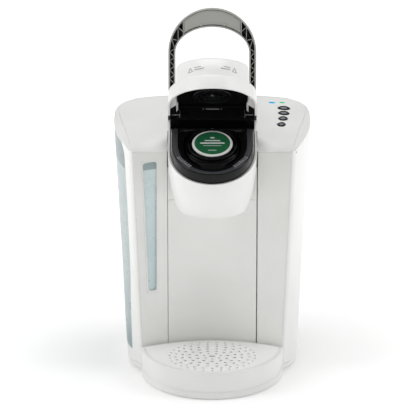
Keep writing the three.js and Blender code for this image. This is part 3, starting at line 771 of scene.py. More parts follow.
def make_middle_panels():
    middle = SEAM_X - SEAM
    spans = (
        ("front_panel_centre", "center_front_panel", PANEL_LOW, SPLIT_Z - SEAM),
        ("front_panel_behind_head", "head_back_panel", SPLIT_Z, corners("head_back_panel")[1].z),
    )
    for name, node, low, high in spans:
        points = [front_wall(x, z) for x in spread(-middle, middle, 20) for z in spread(low, high, 12)]
        outer_wall(name, points, grid_faces(21, 13), PANEL, "panel_plastic", node)


# ---- top ----------------------------------------------------------------

def coons(front, right, rear, left):
    """Grid of points between four edges: front and rear run left to right, and left and right
    run front to back."""
    n, m = len(front) - 1, len(right) - 1

    def inside(i, j):
        u, v = i / n, j / m
        twist = left[0].lerp(right[0], u).lerp(left[m].lerp(right[m], u), v)
        return left[j].lerp(right[j], u) + front[i].lerp(rear[i], v) - twist

    return [[inside(i, j) for j in range(m + 1)] for i in range(n + 1)]


CAP_LIP = 1.6


def cap_outline(front, outer, rear):
    """The cap's four edges in plan: front, outer, rear and inner, each as a line of points."""
    half = front_half(FRONT_HIGH_Z) - BAND - SEAM
    nose_edge = [Vector((x, front_y(x) + 0.02, 0)) for x in spread(SEAM_X + SEAM, half, front)]
    turns = [TURN_BAND + (TURN_COVER - TURN_BAND) * t ** 0.9 for t in spread(0, 1, outer)]
    crease = [wall(t, RIM_Z, 1, stops(t, CREASE_IN) + CAP_GAP) for t in turns]
    crease[0] = nose_edge[-1].copy()
    back = [wall(mix(TURN_REAR_SEAM, TURN_COVER, t), RIM_Z, 1, 0.05) for t in spread(0, 1, rear)]
    back[-1] = crease[-1].copy()
    start, end = nose_edge[0], back[0]
    inner = [start.lerp(end, t ** 1.15) for t in spread(0, 1, outer)]
    return nose_edge, crease, back, inner


def cap_height(x, y):
    """The top with its front roll, and rolled over a little above the rear wall too."""
    height = top_height(x, y)
    rear = wall(turn_where(3, 4, RIM_Z, lambda p: p.x < abs(x)), RIM_Z).y
    near = clamp((rear - y) / REAR_ROLL)
    if abs(x) > REAR_COVER_HALF:
        return height
    return height - REAR_DROP * (1 - math.sqrt(1 - (1 - near) ** 2))


def make_cap(side, name, node, body):
    """One patch for the top of the cap and a short lip turned down all round its edge."""
    front, outer, rear = 14, 44, 14
    grid = coons(*cap_outline(front, outer, rear))
    steps = [t ** 1.9 * 0.75 + t * 0.25 for t in spread(0, 1, outer)]
    points = []
    for column in grid:
        line = [Vector((p.x, p.y, 0)) for p in column]
        for step in steps:
            p = along(line, step)
            points.append(mirror(Vector((p.x, p.y, cap_height(p.x, p.y))), side))
    rows = outer + 1
    faces = grid_faces(front + 1, rows)
    rim = [i * rows for i in range(front + 1)] + [front * rows + j for j in range(1, rows)]
    rim += [i * rows + outer for i in range(front - 1, -1, -1)] + [j for j in range(outer - 1, 0, -1)]
    start = len(points)
    middle = sum((Vector(points[index]) for index in rim), Vector()) / len(rim)
    for index in rim:
        inward = middle - points[index]
        points.append(points[index] + Vector((inward.x, inward.y, 0)).normalized() - Vector((0, 0, CAP_LIP)))
    n = len(rim)
    faces += [(rim[k], rim[(k + 1) % n], start + (k + 1) % n, start + k) for k in range(n)]
    soften(new_piece(name, points, faces, WHITE, body, "white_plastic", [node], CORE), 0.3, angle=50)


# The lowest height of the top cover's rear edge, so that it stays on the rear cover.
REAR_EDGE_Z = 287.9
COVER_FALL = 0.08
COVER_BEND_Y = 118
COVER_BEND_LENGTH = 30
COVER_BEND_DROP = 6


def make_top_cover():
    """The humped cover between the caps, highest behind the lid."""
    low, high = corners("top_cover")
    half, front, back = SEAM_X - 1, low.y, high.y

    def height(y):
        bend = clamp((y - COVER_BEND_Y) / COVER_BEND_LENGTH) ** 2
        return high.z - COVER_FALL * (y - front) - COVER_BEND_DROP * bend

    across, deep = 10, 20
    chain = [(x, front) for x in spread(-half, half, across)]
    chain += [(half, y) for y in spread(front, back, deep)[1:]]
    chain += [(x, back) for x in spread(half, -half, across)[1:]]
    chain += [(-half, y) for y in spread(back, front, deep)[1:-1]]
    profile = [(0, 30), (0, 20), (0, 10), (0.6, 5.6), (2.2, 2.6), (4.6, 0.8), (8, 0)]
    loops = []
    for inset, drop in profile:
        loop = []
        for x, y in chain:
            sx = x * (half - inset) / half
            far = (y - front) / (back - front)
            sy = mix(front + min(inset, 2) * 0.6, back - inset * 1.6, far)
            z = height(sy) - drop
            loop.append(Vector((sx, sy, z if far < 1 else max(z, REAR_EDGE_Z))))
        loops.append(loop)
    points, faces = loops_mesh(loops)
    rim = loops[-1]
    right = rim[across:across + deep + 1]
    rear = rim[across + deep:2 * across + deep + 1][::-1]
    left = [rim[0]] + rim[2 * across + deep + 1:][::-1] + [rim[2 * across + deep]]
    start = len(points)
    points += [p for column in coons(rim[:across + 1], right, rear, left) for p in column]
    faces += shifted(grid_faces(across + 1, deep + 1), start)
    cover = new_piece(
        "head_top_cover", points, faces, WHITE, "housing", "white_plastic", ["top_cover"], (0, 60, 240))
    thicken(cover, WALL)
    soften(cover, 0.4)


def top_frame(x, y):
    """Matrix that sets a key square on the sloping top."""
    slope_y = (crown(x, y + 1) - crown(x, y - 1)) / 2
    slope_x = (crown(x + 1, y) - crown(x - 1, y)) / 2
    forward = Vector((0, 1, slope_y)).normalized()
    across = Vector((1, 0, slope_x)).normalized()
    up = across.cross(forward).normalized()
    return Matrix((across, up.cross(across), up)).transposed(), Vector((x, y, crown(x, y)))


def oval_loops(across, along_y, profile, count=40, turn=0.0):
    """Closed ovals shrunk and lifted by a profile of (shrink, height)."""
    c, s = math.cos(turn), math.sin(turn)
    loops = []
    for shrink, height in profile:
        a, b = across / 2 - shrink, along_y / 2 - shrink
        oval = [(a * x, b * y) for x, y in circle(1, count)]
        loops.append([Vector((x * c - y * s, x * s + y * c, height)) for x, y in oval])
    return loops


def set_on_top(loops, x, y, close=True):
    turn, spot = top_frame(x, y)
    return loops_mesh([[turn @ p + spot for p in loop] for loop in loops], close_last=close)


KEY_TURN = math.radians(-10)
KEY_PROFILE = ((0, -3.5), (0, 0.2), (0.25, 0.8), (0.8, 1.15), (1.5, 1.1), (2.1, 0.75), (3.0, 0.55))
KEY_RIM_PROFILE = ((-0.1, -2), (-0.1, 0.12), (-0.45, 0.3), (-0.8, 0.1), (-0.8, -2))
LENS_PROFILE = ((0, -2), (0, 0.05), (0.2, 0.3), (0.8, 0.42), (2, 0.45))


def plan_of(node):
    """Middle and size of a node in plan."""
    low, high = corners(node)
    return (low.x + high.x) / 2, (low.y + high.y) / 2, high.x - low.x, high.y - low.y


def make_keys():
    for name in ("power_button", "large_cup_button", "medium_cup_button", "small_cup_button"):
        x, y, across, length = plan_of(name)
        points, faces = set_on_top(oval_loops(across, length, KEY_PROFILE, turn=KEY_TURN), x, y)
        key = new_piece(name + "_key", points, faces, BLACK, name, "black_plastic", [name])
        # The key's upper middle is painted lighter as a highlight.
        key.data.materials.append(KEY_SHEEN)
        middle = Vector((x, y, crown(x, y) + 0.6)) * MM
        for face in key.data.polygons:
            if (face.center - middle).length < 0.3 * across * MM and face.normal.z > 0.5:
                face.material_index = 1
        rim = oval_loops(across, length, KEY_RIM_PROFILE, turn=KEY_TURN)
        points, faces = set_on_top(rim, x, y, close=False)
        new_piece(name + "_rim", points, faces, MATTE_BLACK, "housing", "black_plastic")
    lenses = (("water_lens", BLUE_LIGHT, "blue_lens"), ("ready_lens", GREEN_LIGHT, "green_lens"))
    for name, look, slot in lenses:
        x, y, across, length = plan_of(name)
        points, faces = set_on_top(oval_loops(across, length, LENS_PROFILE, 32), x, y)
        new_piece(name + "_window", points, faces, look, "housing", slot, [name])


# ---- brew head ----------------------------------------------------------

# Points of a D-shaped plan round its nose, along each side and along its back.
NOSE_ARC = 36
NOSE_SIDE = 6
NOSE_REAR = 10
NOSE_POWER = 0.92


def nose(half, back, mid, front, arc=NOSE_ARC):
    """Closed D-shaped plan as (x, forward): straight sides and a blunt rounded nose."""
    points = []
    for i in range(arc + 1):
        angle = HALF_TURN * i / arc
        points.append((half * math.cos(angle), mid + (front - mid) * math.sin(angle) ** NOSE_POWER))
    points += [(-half, mix(mid, back, k / NOSE_SIDE)) for k in range(1, NOSE_SIDE + 1)]
    points += [(mix(-half, half, k / NOSE_REAR), back) for k in range(1, NOSE_REAR)]
    points += [(half, mix(back, mid, k / NOSE_SIDE)) for k in range(NOSE_SIDE)]
    return points


def head_point(x, forward, up):
    y, z = -forward, up
    c, s = math.cos(HEAD_TILT), math.sin(HEAD_TILT)
    return HEAD_ORIGIN + Vector((x, y * c - z * s, y * s + z * c))


def turned_about_pivot(x, forward, up, angle):
    c, s = math.cos(angle), math.sin(angle)
    return PIVOT + Vector((x, -forward * c - up * s, -forward * s + up * c))


def lid_point(x, forward, up):
    return turned_about_pivot(x, forward + PIVOT_BACK, up - PIVOT_UP, HEAD_TILT - LID_OPEN)


def handle_point(x, forward, up):
    return turned_about_pivot(x, forward, up, HEAD_TILT - HANDLE_OPEN)


def nose_loops(rows, place):
    """rows are (half, back, mid, front, height) in the plan's own frame."""
    return [[place(x, f, up) for x, f in nose(*plan)] for *plan, up in rows]


CUP_LOW = corners("brew_cup_shell")[0].z
CUP_TALL = 75
CUP_TOP_MOST = 312
CUP_EDGE = 6.5
SPOUT_Y = -80
SPOUT_R = 11
CUP_BACK = -FRONT_MID_Y + 1


def cup_plan(z):
    t = clamp((z - CUP_LOW) / CUP_TALL)
    grow = 1 - (1 - t) ** 2.2
    edge = clamp((CUP_LOW + CUP_EDGE - z) / CUP_EDGE)
    inset = CUP_EDGE * (1 - math.sqrt(1 - edge * edge))
    half = 38.5 + 12.9 * grow - inset
    mid = 75 + 11 * (1 - (1 - t) ** 3)
    return nose(half, CUP_BACK, mid, 114 + 34 * grow - inset, arc=48)


def parting_height(y):
    """Height of the head's leaning parting plane."""
    return HEAD_ORIGIN.z + (y - HEAD_ORIGIN.y) * math.tan(HEAD_TILT) - SEAM


def cup_column(index):
    """One upright line of the cup's wall, from its foot to the parting plane."""
    top = 280.0
    for _ in range(6):
        x, forward = cup_plan(top)[index]
        top = parting_height(-forward)
    top = min(top, CUP_TOP_MOST)
    heights = [CUP_LOW + CUP_EDGE * f for f in (0, 0.06, 0.2, 0.42, 0.7, 1)]
    heights += [mix(heights[-1], top, f) for f in spread(0, 1, 14)[1:]]
    line = []
    for z in heights:
        x, forward = cup_plan(z)[index]
        y = -forward
        if forward <= CUP_BACK + 0.5:
            y = front_y(x) - SEAM
        line.append(Vector((x, min(y, front_y(x) - SEAM), z)))
    return line


def make_brew_cup():
    count = len(cup_plan(CUP_LOW))
    columns = [cup_column(i) for i in range(count)]
    rows = len(columns[0])
    loops = [[column[k] for column in columns] for k in range(rows)]
    foot = loops[0]
    centre = Vector((0, SPOUT_Y, CUP_LOW))
    inner = [centre + (p - centre).normalized() * SPOUT_R for p in foot]
    under = [[a.lerp(b, t) for a, b in zip(inner, foot)] for t in (0, 0.35, 0.7)]
    points, faces = loops_mesh(under + loops)
    cup = new_piece(
        "brew_head_cup", points, faces, WHITE, "housing", "white_plastic", ["brew_cup_shell"], (0, -80, 250))
    soften(thicken(cup, 2.2), 0.5)


RING_OUTER = (
    (48.0, 16, POD_FORWARD, 109.4, -0.6), (48.5, 16, POD_FORWARD, 110.0, 0.4),
    (48.2, 16, POD_FORWARD, 109.8, 4), (47.5, 16, POD_FORWARD, 109.4, 9),
    (46.9, 16.4, POD_FORWARD, 109.0, 11.4), (45.6, 17, POD_FORWARD, 108.0, 12.5),
)
ANNULUS_INNER = (33.8, 18.5, POD_FORWARD, 99)
RING_UNDER_LID = 2.9


def ring_point(x, forward, up):
    """Point of the ring, which stays under the sloping back of the closed lid."""
    return head_point(x, forward, min(up, ledge_height(forward) - RING_UNDER_LID))


# The stepped well round the pod holder, as its reach across, to the front, to the back, and its height.
WELL_POWER = 2.4
RECESS = (
    (33.2, 47.0, 31.5, 11.0), (32.8, 46.2, 31, 4.0), (31.8, 39.5, 30.6, 3.4), (31.2, 35.4, 30.4, 9.0),
    (30.6, 33.4, 30, 9.6), (29.8, 31.6, 29.6, 9.2), (29.4, 30.8, 29.4, 6.0),
)
HOLDER_COLLAR = ((28.9, 7.2), (28.7, 10.6), (28.1, 11.2), (27.4, 11.0), (27.0, 10.2), (27.0, 2))


def bearings(plan):
    """Bearings round the pod of the plan's points."""
    return [math.atan2(forward - POD_FORWARD, x) for x, forward in plan]


def well_loop(plan, across, front, back, up):
    """Loop of the well at the same bearings round the pod as the plan's points."""
    loop = []
    for angle in bearings(plan):
        reach = front if math.sin(angle) > 0 else back
        c, s = abs(math.cos(angle)), abs(math.sin(angle))
        r = 1 / ((c / across) ** WELL_POWER + (s / reach) ** WELL_POWER) ** (1 / WELL_POWER)
        loop.append(ring_point(r * math.cos(angle), POD_FORWARD + r * math.sin(angle), up))
    return loop


def collar_loop(plan, radius, up):
    return [head_point(radius * math.cos(angle), POD_FORWARD + radius * math.sin(angle), up)
            for angle in bearings(plan)]


def make_brew_ring():
    """Glossy skirt, matte upper face, then the stepped well round the pod."""
    base = nose(*RING_OUTER[-1][:4])
    skirt = nose_loops(RING_OUTER, ring_point)
    face_rows = ((45.0, 17.2, POD_FORWARD, 107.4, 12.6), (40, 17.8, POD_FORWARD, 103.5, 12.5),
                 (*ANNULUS_INNER, 12.2))
    face = nose_loops(face_rows, ring_point)
    well = [well_loop(base, *row) for row in RECESS]
    collar = [collar_loop(base, *row) for row in HOLDER_COLLAR]
    points, faces = loops_mesh(skirt + face + well + collar)
    ring = new_piece(
        "brew_head_ring", points, faces, BLACK, "housing", "black_plastic", ["brew_ring"],
        head_point(0, POD_FORWARD, -30))
    ring.data.materials.append(MATTE_BLACK)
    count = len(base)
    start, end = (len(skirt) - 1) * count, (len(skirt) + len(face) - 1) * count
    for polygon in ring.data.polygons:
        if all(start <= v < end for v in polygon.vertices):
            polygon.material_index = 1
    bevelled(ring, 0.4, 35)


def turned_piece(name, profile, place, look, body, slot, stands_for=(), close=True):
    """A part turned about the pod's axis, from its (radius, up) profile."""
    loops = [[place(x, f, up) for x, f in circle(radius, 72, (0, POD_FORWARD))] for radius, up in profile]
    points, faces = loops_mesh(loops, close_last=close)
    return new_piece(name, points, faces, look, body, slot, stands_for)


def make_pod():
    turned_piece(
        "pod_cup_rim",
        ((0.5, -24), (18, -24), (18.6, -23), (22.2, 10.2), (23.0, 10.2), (23.4, 10.6), (23.4, 11.3),
         (23.2, 11.6), (23.0, 11.6), (22.7, 11.5)),
        head_point, POD_WHITE, "pod", "pod_cup", ["pod_cup"], close=False)
    turned_piece(
        "pod_lid_foil", ((23.1, 11.4), (23.1, 11.8), (22.8, 12.0), (20.9, 12.1), (20.7, 12.1)),
        head_point, POD_WHITE, "pod", "pod_foil", ["pod_foil"])
    turned_piece(
        "pod_lid_print", ((20.6, 12.0), (20.6, 12.16), (20.4, 12.2), (12, 12.24), (4, 12.25)),
        head_point, POD_GREEN, "pod", "pod_foil")
    bars = (
        ((-9, 45.8, 12.3), (9, 47.6, 12.42)), ((-14, 50.2, 12.3), (14, 52.4, 12.42)),
        ((-10.5, 55.7, 12.3), (10.5, 56.4, 12.4)), ((-4.8, 63.8, 12.3), (4.8, 64.8, 12.4)),
    )
    points, faces = blocks_mesh(bars, head_point)
    soften(new_piece("pod_print_bars", points, faces, MARK_WHITE, "pod", "pod_foil"), 0.04)
    bean = [[head_point(x * 2.6 * size, POD_FORWARD - 9.6 + f * size, up) for x, f in circle(1.1, 20)]
            for size, up in ((1.0, 12.26), (1.0, 12.4), (0.8, 12.44))]
    points, faces = loops_mesh(bean, close_last=True)
    new_piece("pod_print_bean", points, faces, MARK_WHITE, "pod", "pod_foil")


MARK_START, MARK_END = (40.5, 77.5), (25.5, 95.5)


def make_ring_marks():
    """Generic raised marks on the ring's upper face: two rows of bars at each side, and an arrow."""
    a, b = Vector(MARK_START), Vector(MARK_END)
    step = (b - a).normalized()
    outward = Vector((-step.y, step.x))
    bars = []
    for row, count in ((0, 10), (2.4, 7)):
        for k in range(count):
            spot = a.lerp(b, (k + 0.5) / count) + outward * row
            bars.append((spot, 0.55 if k % 3 else 0.8))
    points, faces = [], []
    for side in (1, -1):
        for spot, half_along in bars:
            faces += shifted(BOX_FACES, len(points))
            for u in (-half_along, half_along):
                for w in (0.75, -0.75):
                    p = spot + step * u + outward * w
                    points += [head_point(side * p.x, p.y, up) for up in (12.4, 12.66)]
    new_piece("ring_marks", points, faces, MARKS_AND_GLINTS, "housing", "black_plastic")
    arrow = [(-1.5, 20.4), (1.5, 20.4), (0, 18.4)]
    points = [head_point(x, f, up) for up in (6, 8.4) for x, f in arrow]
    faces = [(0, 2, 1), (3, 4, 5), (0, 1, 4, 3), (1, 2, 5, 4), (2, 0, 3, 5)]
    new_piece("ring_arrow", points, faces, MARKS_AND_GLINTS, "housing", "black_plastic")


def flat_pairs(outline, near, far, place):
    """Points and faces of one flat plate at each side, from its outline in forward and height."""
    points, faces = [], []
    n = len(outline)
    for side in (1, -1):
        start = len(points)
        for x in (near, far):
            points += [place(side * x, f, up) for f, up in outline]
        faces += [(start + i, start + (i + 1) % n, start + n + (i + 1) % n, start + n + i) for i in range(n)]
        faces += [tuple(start + i for i in range(n)), tuple(start + n + i for i in range(n))[::-1]]
    return points, faces


def make_hinge_block():
    """The black block behind the ring, with the ears that carry the pin and its ledges."""
    def place(x, forward, up):
        return Vector((x, -forward, up))

    boxes = [
        ((-49.6, 29.5, 284), (49.6, 33.5, 313)), ((-42.8, 33.5, 284), (42.8, 39.0, 313)),
        ((-49.6, 33.5, 284), (-42.8, 39.0, 308)), ((42.8, 33.5, 284), (49.6, 39.0, 308)),
        ((-49.0, 33.5, 290), (-31.5, 44, 299.5)), ((31.5, 33.5, 290), (49.0, 44, 299.5)),
        ((-30.5, 33.5, 288), (30.5, 43, 294)),
        ((-28.5, 38, 296), (-15.5, 43, 297.4)), ((17.5, 38, 296), (27, 43, 297.4)),
    ]
    points, faces = blocks_mesh(boxes, place)
    soften(new_piece("hinge_block", points, faces, DEEP_BLACK, "housing", "black_plastic"), 0.5)
    cheek = [(38, 295), (38, 324.5), (36.5, 326), (31, 326), (8, 311), (8, 295)]
    points, faces = flat_pairs(cheek, 51.5, 52.3, place)
    soften(new_piece("hinge_cheeks", points, faces, WHITE, "housing", "white_plastic"), 0.3)
    # Painted shade: near-black strips fill the gaps at each side of the head.
    strips = [((s * 51.6 - 0.8, 30, 251), (s * 51.6 + 0.8, 38.2, 294.6)) for s in (-1, 1)]
    points, faces = blocks_mesh(strips, place)
    soften(new_piece("head_side_shade_strips", points, faces, CAVITY_SHADE, "housing", "black_plastic"), 0.2)
    y, z = PIVOT.y, PIVOT.z
    ear = [(6, -2), (4, -7), (-5, -24), (-13, -26), (-13, -1), (-6, 3), (-3, 6), (3, 6), (6, 2)]
    points, faces = flat_pairs(ear, 37.2, 41.8, lambda x, f, up: Vector((x, y - f, z + up)))
    soften(new_piece("hinge_ears", points, faces, BLACK, "housing", "black_plastic", ["hinge_bracket"]), 0.6)


# ---- lid ----------------------------------------------------------------

def ledge_height(forward):
    if forward < LID_BACK:
        return 3
    return mix(3, LEDGE, clamp((forward - LID_BACK) / (34 - LID_BACK)))


def dome_height(forward):
    return mix(DOME_TOP_BACK, DOME_TOP, clamp((forward - LID_BACK) / (DOME_CREST - LID_BACK)))


# How far the dome's middle and tip move back with height, so that the handle clears it.
DOME_LEAN_MID = ((LEDGE, 0.8), (30, 4.6), (38, 7.2), (DOME_TOP, 10.2))
DOME_LEAN_TIP = ((LEDGE, 0), (30, 1.9), (38, 3.9), (DOME_TOP, 6.5))


def lid_loops():
    """Loops of the lid's outside: flange, ledge, dome wall and rounded crown."""
    flange = nose(HEAD_HALF, LID_BACK, POD_FORWARD, HEAD_FRONT)
    flange_top = nose(HEAD_HALF - 0.6, LID_BACK, POD_FORWARD, HEAD_FRONT - 2)
    shoulder_in = nose(HEAD_HALF - 2.4, LID_BACK, POD_FORWARD + 1, HEAD_FRONT - 4)
    foot = nose(DOME_HALF + 1.0, LID_BACK, DOME_MID - 2, DOME_FRONT + 0.9)
    dome = nose(DOME_HALF, LID_BACK, DOME_MID, DOME_FRONT)
    loops = [[lid_point(x, f, 0.2) for x, f in flange]]

    def leaning(inset, up):
        middle, tip = stops(up, DOME_LEAN_MID), stops(up, DOME_LEAN_TIP)
        return nose(DOME_HALF - inset, LID_BACK + inset * 0.3, DOME_MID - middle, DOME_FRONT - inset - tip)

    def row(plan, height):
        return [lid_point(x, f, height(f)) for x, f in plan]

    loops.append(row(flange, lambda f: 0.2 + (ledge_height(f) - 0.2) * 0.4))
    loops.append(row(flange_top, lambda f: ledge_height(f) - 1.6))
    loops.append([lid_point(mix(a[0], b[0], 0.3), mix(a[1], b[1], 0.3), ledge_height(a[1]) - 0.5)
                  for a, b in zip(flange_top, shoulder_in)])
    loops.append(row(shoulder_in, ledge_height))
    loops.append(row(foot, lambda f: ledge_height(f) + 0.2))
    loops.append(row(dome, lambda f: ledge_height(f) + 1.6))
    for share in (0.2, 0.4, 0.6, 0.8):
        plan = leaning(0, mix(LEDGE, DOME_TOP - 4, share))
        loops.append(row(plan, lambda f: mix(ledge_height(f) + 1.6, dome_height(f) - 4, share)))
    for angle in spread(0, HALF_TURN / 2, 4):
        inset, drop = 4 * (1 - math.cos(angle)), 4 * (1 - math.sin(angle))
        loops.append(row(leaning(inset, DOME_TOP - drop), lambda f: dome_height(f) - drop))
    return loops


def top_fill(points, faces, count):
    """Fills the last D-shaped loop with strips from its left side to its right side."""
    start, arc, side, rear = len(points) - count, NOSE_ARC, NOSE_SIDE, NOSE_REAR
    rows = [[start + arc + side + k for k in range(rear + 1)]]
    for k in range(1, side + arc // 2 + 1):
        a, b = start + arc + side - k, start + (arc + side + rear + k) % count
        row = [a]
        if a == b:
            row *= rear + 1
        else:
            for step in range(1, rear):
                points.append(Vector(points[a]).lerp(Vector(points[b]), step / rear))
                row.append(len(points) - 1)
            row.append(b)
        rows.append(row)
    for row, after in zip(rows, rows[1:]):
        for k in range(rear):
            face = tuple(dict.fromkeys((row[k], row[k + 1], after[k + 1], after[k])))
            if len(face) > 2:
                faces.append(face)


# Inside the lid, the hollow is black behind this place.
LID_BLACK_FORWARD = 20.3


def make_lid():
    loops = lid_loops()
    points, faces = loops_mesh(loops)
    top_fill(points, faces, len(loops[-1]))
    lid = new_piece(
        "brew_lid", points, faces, WHITE, "lid", "white_plastic", ["lid_shell"], lid_point(0, 55, 5))
    for look in (DEEP_BLACK, WHITE, WHITE):
        lid.data.materials.append(look)
    behind = lid_point(0, LID_BLACK_FORWARD, 0)
    forward = (lid_point(0, LID_BLACK_FORWARD + 1, 0) - behind).normalized()
    for face in lid.data.polygons:
        if (face.center / MM - behind).dot(forward) > 0:
            face.material_index = 2
    thicken(lid, 2.3)
    lid.modifiers["wall"].material_offset = 1
    lid.modifiers["wall"].material_offset_rim = 1
    soften(lid, 0.5)
    liner_rows = [
        (39.6, 7.6, DOME_MID, 97.2, 13.8), (39.6, 7.6, DOME_MID, 97.2, 15.4), (38, 9, DOME_MID, 95.6, 16.0),
        (30, 16, DOME_MID - 4, 86, 16.0), (27.5, 22, POD_FORWARD + 6, 80, 16.4),
        (26.6, 23, POD_FORWARD + 6, 79, 17.6), (12, 36, POD_FORWARD + 2, 64, 17.8),
    ]
    points, faces = loops_mesh(nose_loops(liner_rows, lid_point), close_last=True)
    liner = new_piece("lid_liner_plate", points, faces, DEEP_BLACK, "lid", "black_plastic", ["lid_liner"])
    thicken(liner, -1.2)
    turned_piece(
        "pod_press_disc",
        ((3, 13.4), (5, 13.2), (13, 13.2), (13.5, 12.6), (14.6, 12.6), (15.1, 13.2), (20.4, 13.2),
         (20.8, 12.3), (21.9, 12.3), (22.3, 13.4), (22.3, 15.6), (3, 15.8), (3, 13.4)),
        lid_point, BLACK, "lid", "black_plastic", ["pod_press_plate"], close=False)
    make_lid_fittings()


def make_lid_fittings():
    """The black skirt across the back of the lid's hollow, with its small ribs, and light grey bars painted
    on as its glints and highlights.
    """
    boxes = [
        ((-39.4, 7.6, 0.6), (39.4, 9.4, 15.6)), ((-48.4, 5.4, -0.6), (48.4, 9.4, 0.8)),
        ((-38.4, 9.4, 13.2), (38.4, 14.5, 15.0)), ((-47.6, 7.6, 0.4), (47.6, 9.0, 2.2)),
        ((-36.5, 9.4, 2.6), (-29.5, 12.0, 5.0)), ((29.5, 9.4, 2.6), (36.5, 12.0, 5.0)),
    ]
    points, faces = blocks_mesh(boxes, lid_point)
    soften(new_piece("lid_rear_skirt", points, faces, DEEP_BLACK, "lid", "black_plastic"), 0.3)
    # Painted glints and highlights: light grey bars on the black skirt.
    bars = [((-7.4, 9.3, 11.7), (8.0, 10.0, 12.7))]
    for side in (-1, 1):
        for x0, x1, low, high in ((9.8, 11.2, 11.7, 12.7), (37.6, 38.1, 1.6, 12), (33.0, 34.0, 4.8, 5.3)):
            bars.append(((min(side * x0, side * x1), 9.3, low), (max(side * x0, side * x1), 10.0, high)))
        ends = sorted((side * 37.8, side * 47.4))
        bars.append(((ends[0], 12.1, 3.6), (ends[1], 12.9, 4.4)))
    points, faces = blocks_mesh(bars, lid_point)
    new_piece("lid_glint_bars", points, faces, MARKS_AND_GLINTS, "lid", "black_plastic")


MARK_PROUD = 0.4


def make_lid_marks():
    """Generic grey marks on the lid's front: at each side a small triangle and two short lines."""
    def on_front(x, up):
        round_nose = math.sin(math.acos(clamp(abs(x) / DOME_HALF))) ** NOSE_POWER
        middle, tip = DOME_MID - stops(up, DOME_LEAN_MID), DOME_FRONT - stops(up, DOME_LEAN_TIP)
        return mix(middle, tip, round_nose) + MARK_PROUD

    points, faces = [], []

    def stroke(x0, up0, x1, up1, width):
        start, steps = len(points), 4
        direction = Vector((x1 - x0, up1 - up0)).normalized()
        across = Vector((-direction.y, direction.x)) * width / 2
        for k in range(steps + 1):
            x, up = mix(x0, x1, k / steps), mix(up0, up1, k / steps)
            for sign in (-1, 1):
                px, pu = x + across.x * sign, up + across.y * sign
                points.append(lid_point(px, on_front(px, pu), pu))
        for k in range(steps):
            a = start + 2 * k
            faces.append((a, a + 1, a + 3, a + 2))

    for side in (-1, 1):
        triangle = ((27.6, 26.6), (25.2, 32.4), (22.6, 27.6))
        for (x0, up0), (x1, up1) in zip(triangle, triangle[1:] + triangle[:1]):
            stroke(side * x0, up0, side * x1, up1, 0.6)
        stroke(side * 20.5, 32.2, side * 13, 33.2, 0.7)
        stroke(side * 20.5, 29.4, side * 9.5, 30.8, 0.7)
    thicken(new_piece("lid_marks", points, faces, GREY_MARKS_AND_SHADE, "lid", "white_plastic"), 0.1)


# ---- handle -------------------------------------------------------------

def handle_side(forward, over):
    """Height of the handle's lower or upper face: it rises from the pivot to the bow."""
    if over:
        return mix(7.5, HANDLE_OVER, clamp(forward / 16))
    return mix(-5.5, HANDLE_UNDER, clamp((forward - 2) / 34))


def bow_point(t, half, reach, drop):
    """Point (x, forward) of the bow: t from 0 at the right foot to 1 at the left foot."""
    straight = reach - drop
    if t < 0.3:
        return half, mix(-5, straight, t / 0.3)
    if t > 0.7:
        return -half, mix(straight, -5, (t - 0.7) / 0.3)
    angle = HALF_TURN * (t - 0.3) / 0.4
    return half * math.cos(angle), straight + drop * math.sin(angle)


INNER_REACH = HANDLE_REACH - HANDLE_GRIP
INNER_DROP = 30.5
HANDLE_LIP = 2.0


def bow_section(t, outer_in, inner_in):
    """Outer and inner (x, forward) of the bow at t, each moved into the bow's body."""
    outer = bow_point(t, HANDLE_HALF - outer_in, HANDLE_REACH - outer_in, HANDLE_HALF - outer_in)
    inner = bow_point(t, HANDLE_INNER + inner_in, INNER_REACH + inner_in, INNER_DROP + inner_in)
    return outer, inner


def make_handle():
    """The bow: a hollow section, open underneath, carried from one foot round to the other."""
    def face_up(p, over, shift=0.0):
        return handle_point(p[0], p[1], handle_side(p[1], over) + shift)

    loops = []
    steps = joined((0, 0.3, 16), (0.3, 0.7, 56), (0.7, 1, 16))
    for t in steps:
        outer, inner = bow_section(t, 0, 0)
        outer_lip, inner_lip = bow_section(t, HANDLE_LIP, 1.6)
        floor = 2.2 + (1 - clamp((outer[1] - 8) / 20)) * 6
        loops.append([
            face_up(outer, False, 0.6), face_up(outer, True, -1.2),
            face_up(mix_pair(outer, inner, 0.16), True), face_up(mix_pair(outer, inner, 0.84), True),
            face_up(inner, True, -1.2), face_up(inner, False, 0.6),
            face_up(mix_pair(inner, inner_lip, 0.5), False), face_up(inner_lip, False, 0.3),
            face_up(inner_lip, True, -floor), face_up(outer_lip, True, -floor),
            face_up(outer_lip, False, 0.3), face_up(mix_pair(outer, outer_lip, 0.5), False),
        ])
    points, faces = loops_mesh(loops, True, True)
    handle = new_piece("handle_bow", points, faces, SILVER, "handle", "handle_silver", ["handle"])
    handle.data.materials.append(CAVITY_SHADE)
    # The inside top of the bow's hollow underside is painted near black as shade.
    floor_corners, ring = {8, 9}, len(loops[0])
    for polygon in handle.data.polygons:
        if {v % ring for v in polygon.vertices} == floor_corners:
            polygon.material_index = 1
    make_handle_ribs()
    make_handle_grip()


def mix_pair(a, b, t):
    return mix(a[0], b[0], t), mix(a[1], b[1], t)


RIB_HALF = 0.35
GRIP_HALF_X = 33


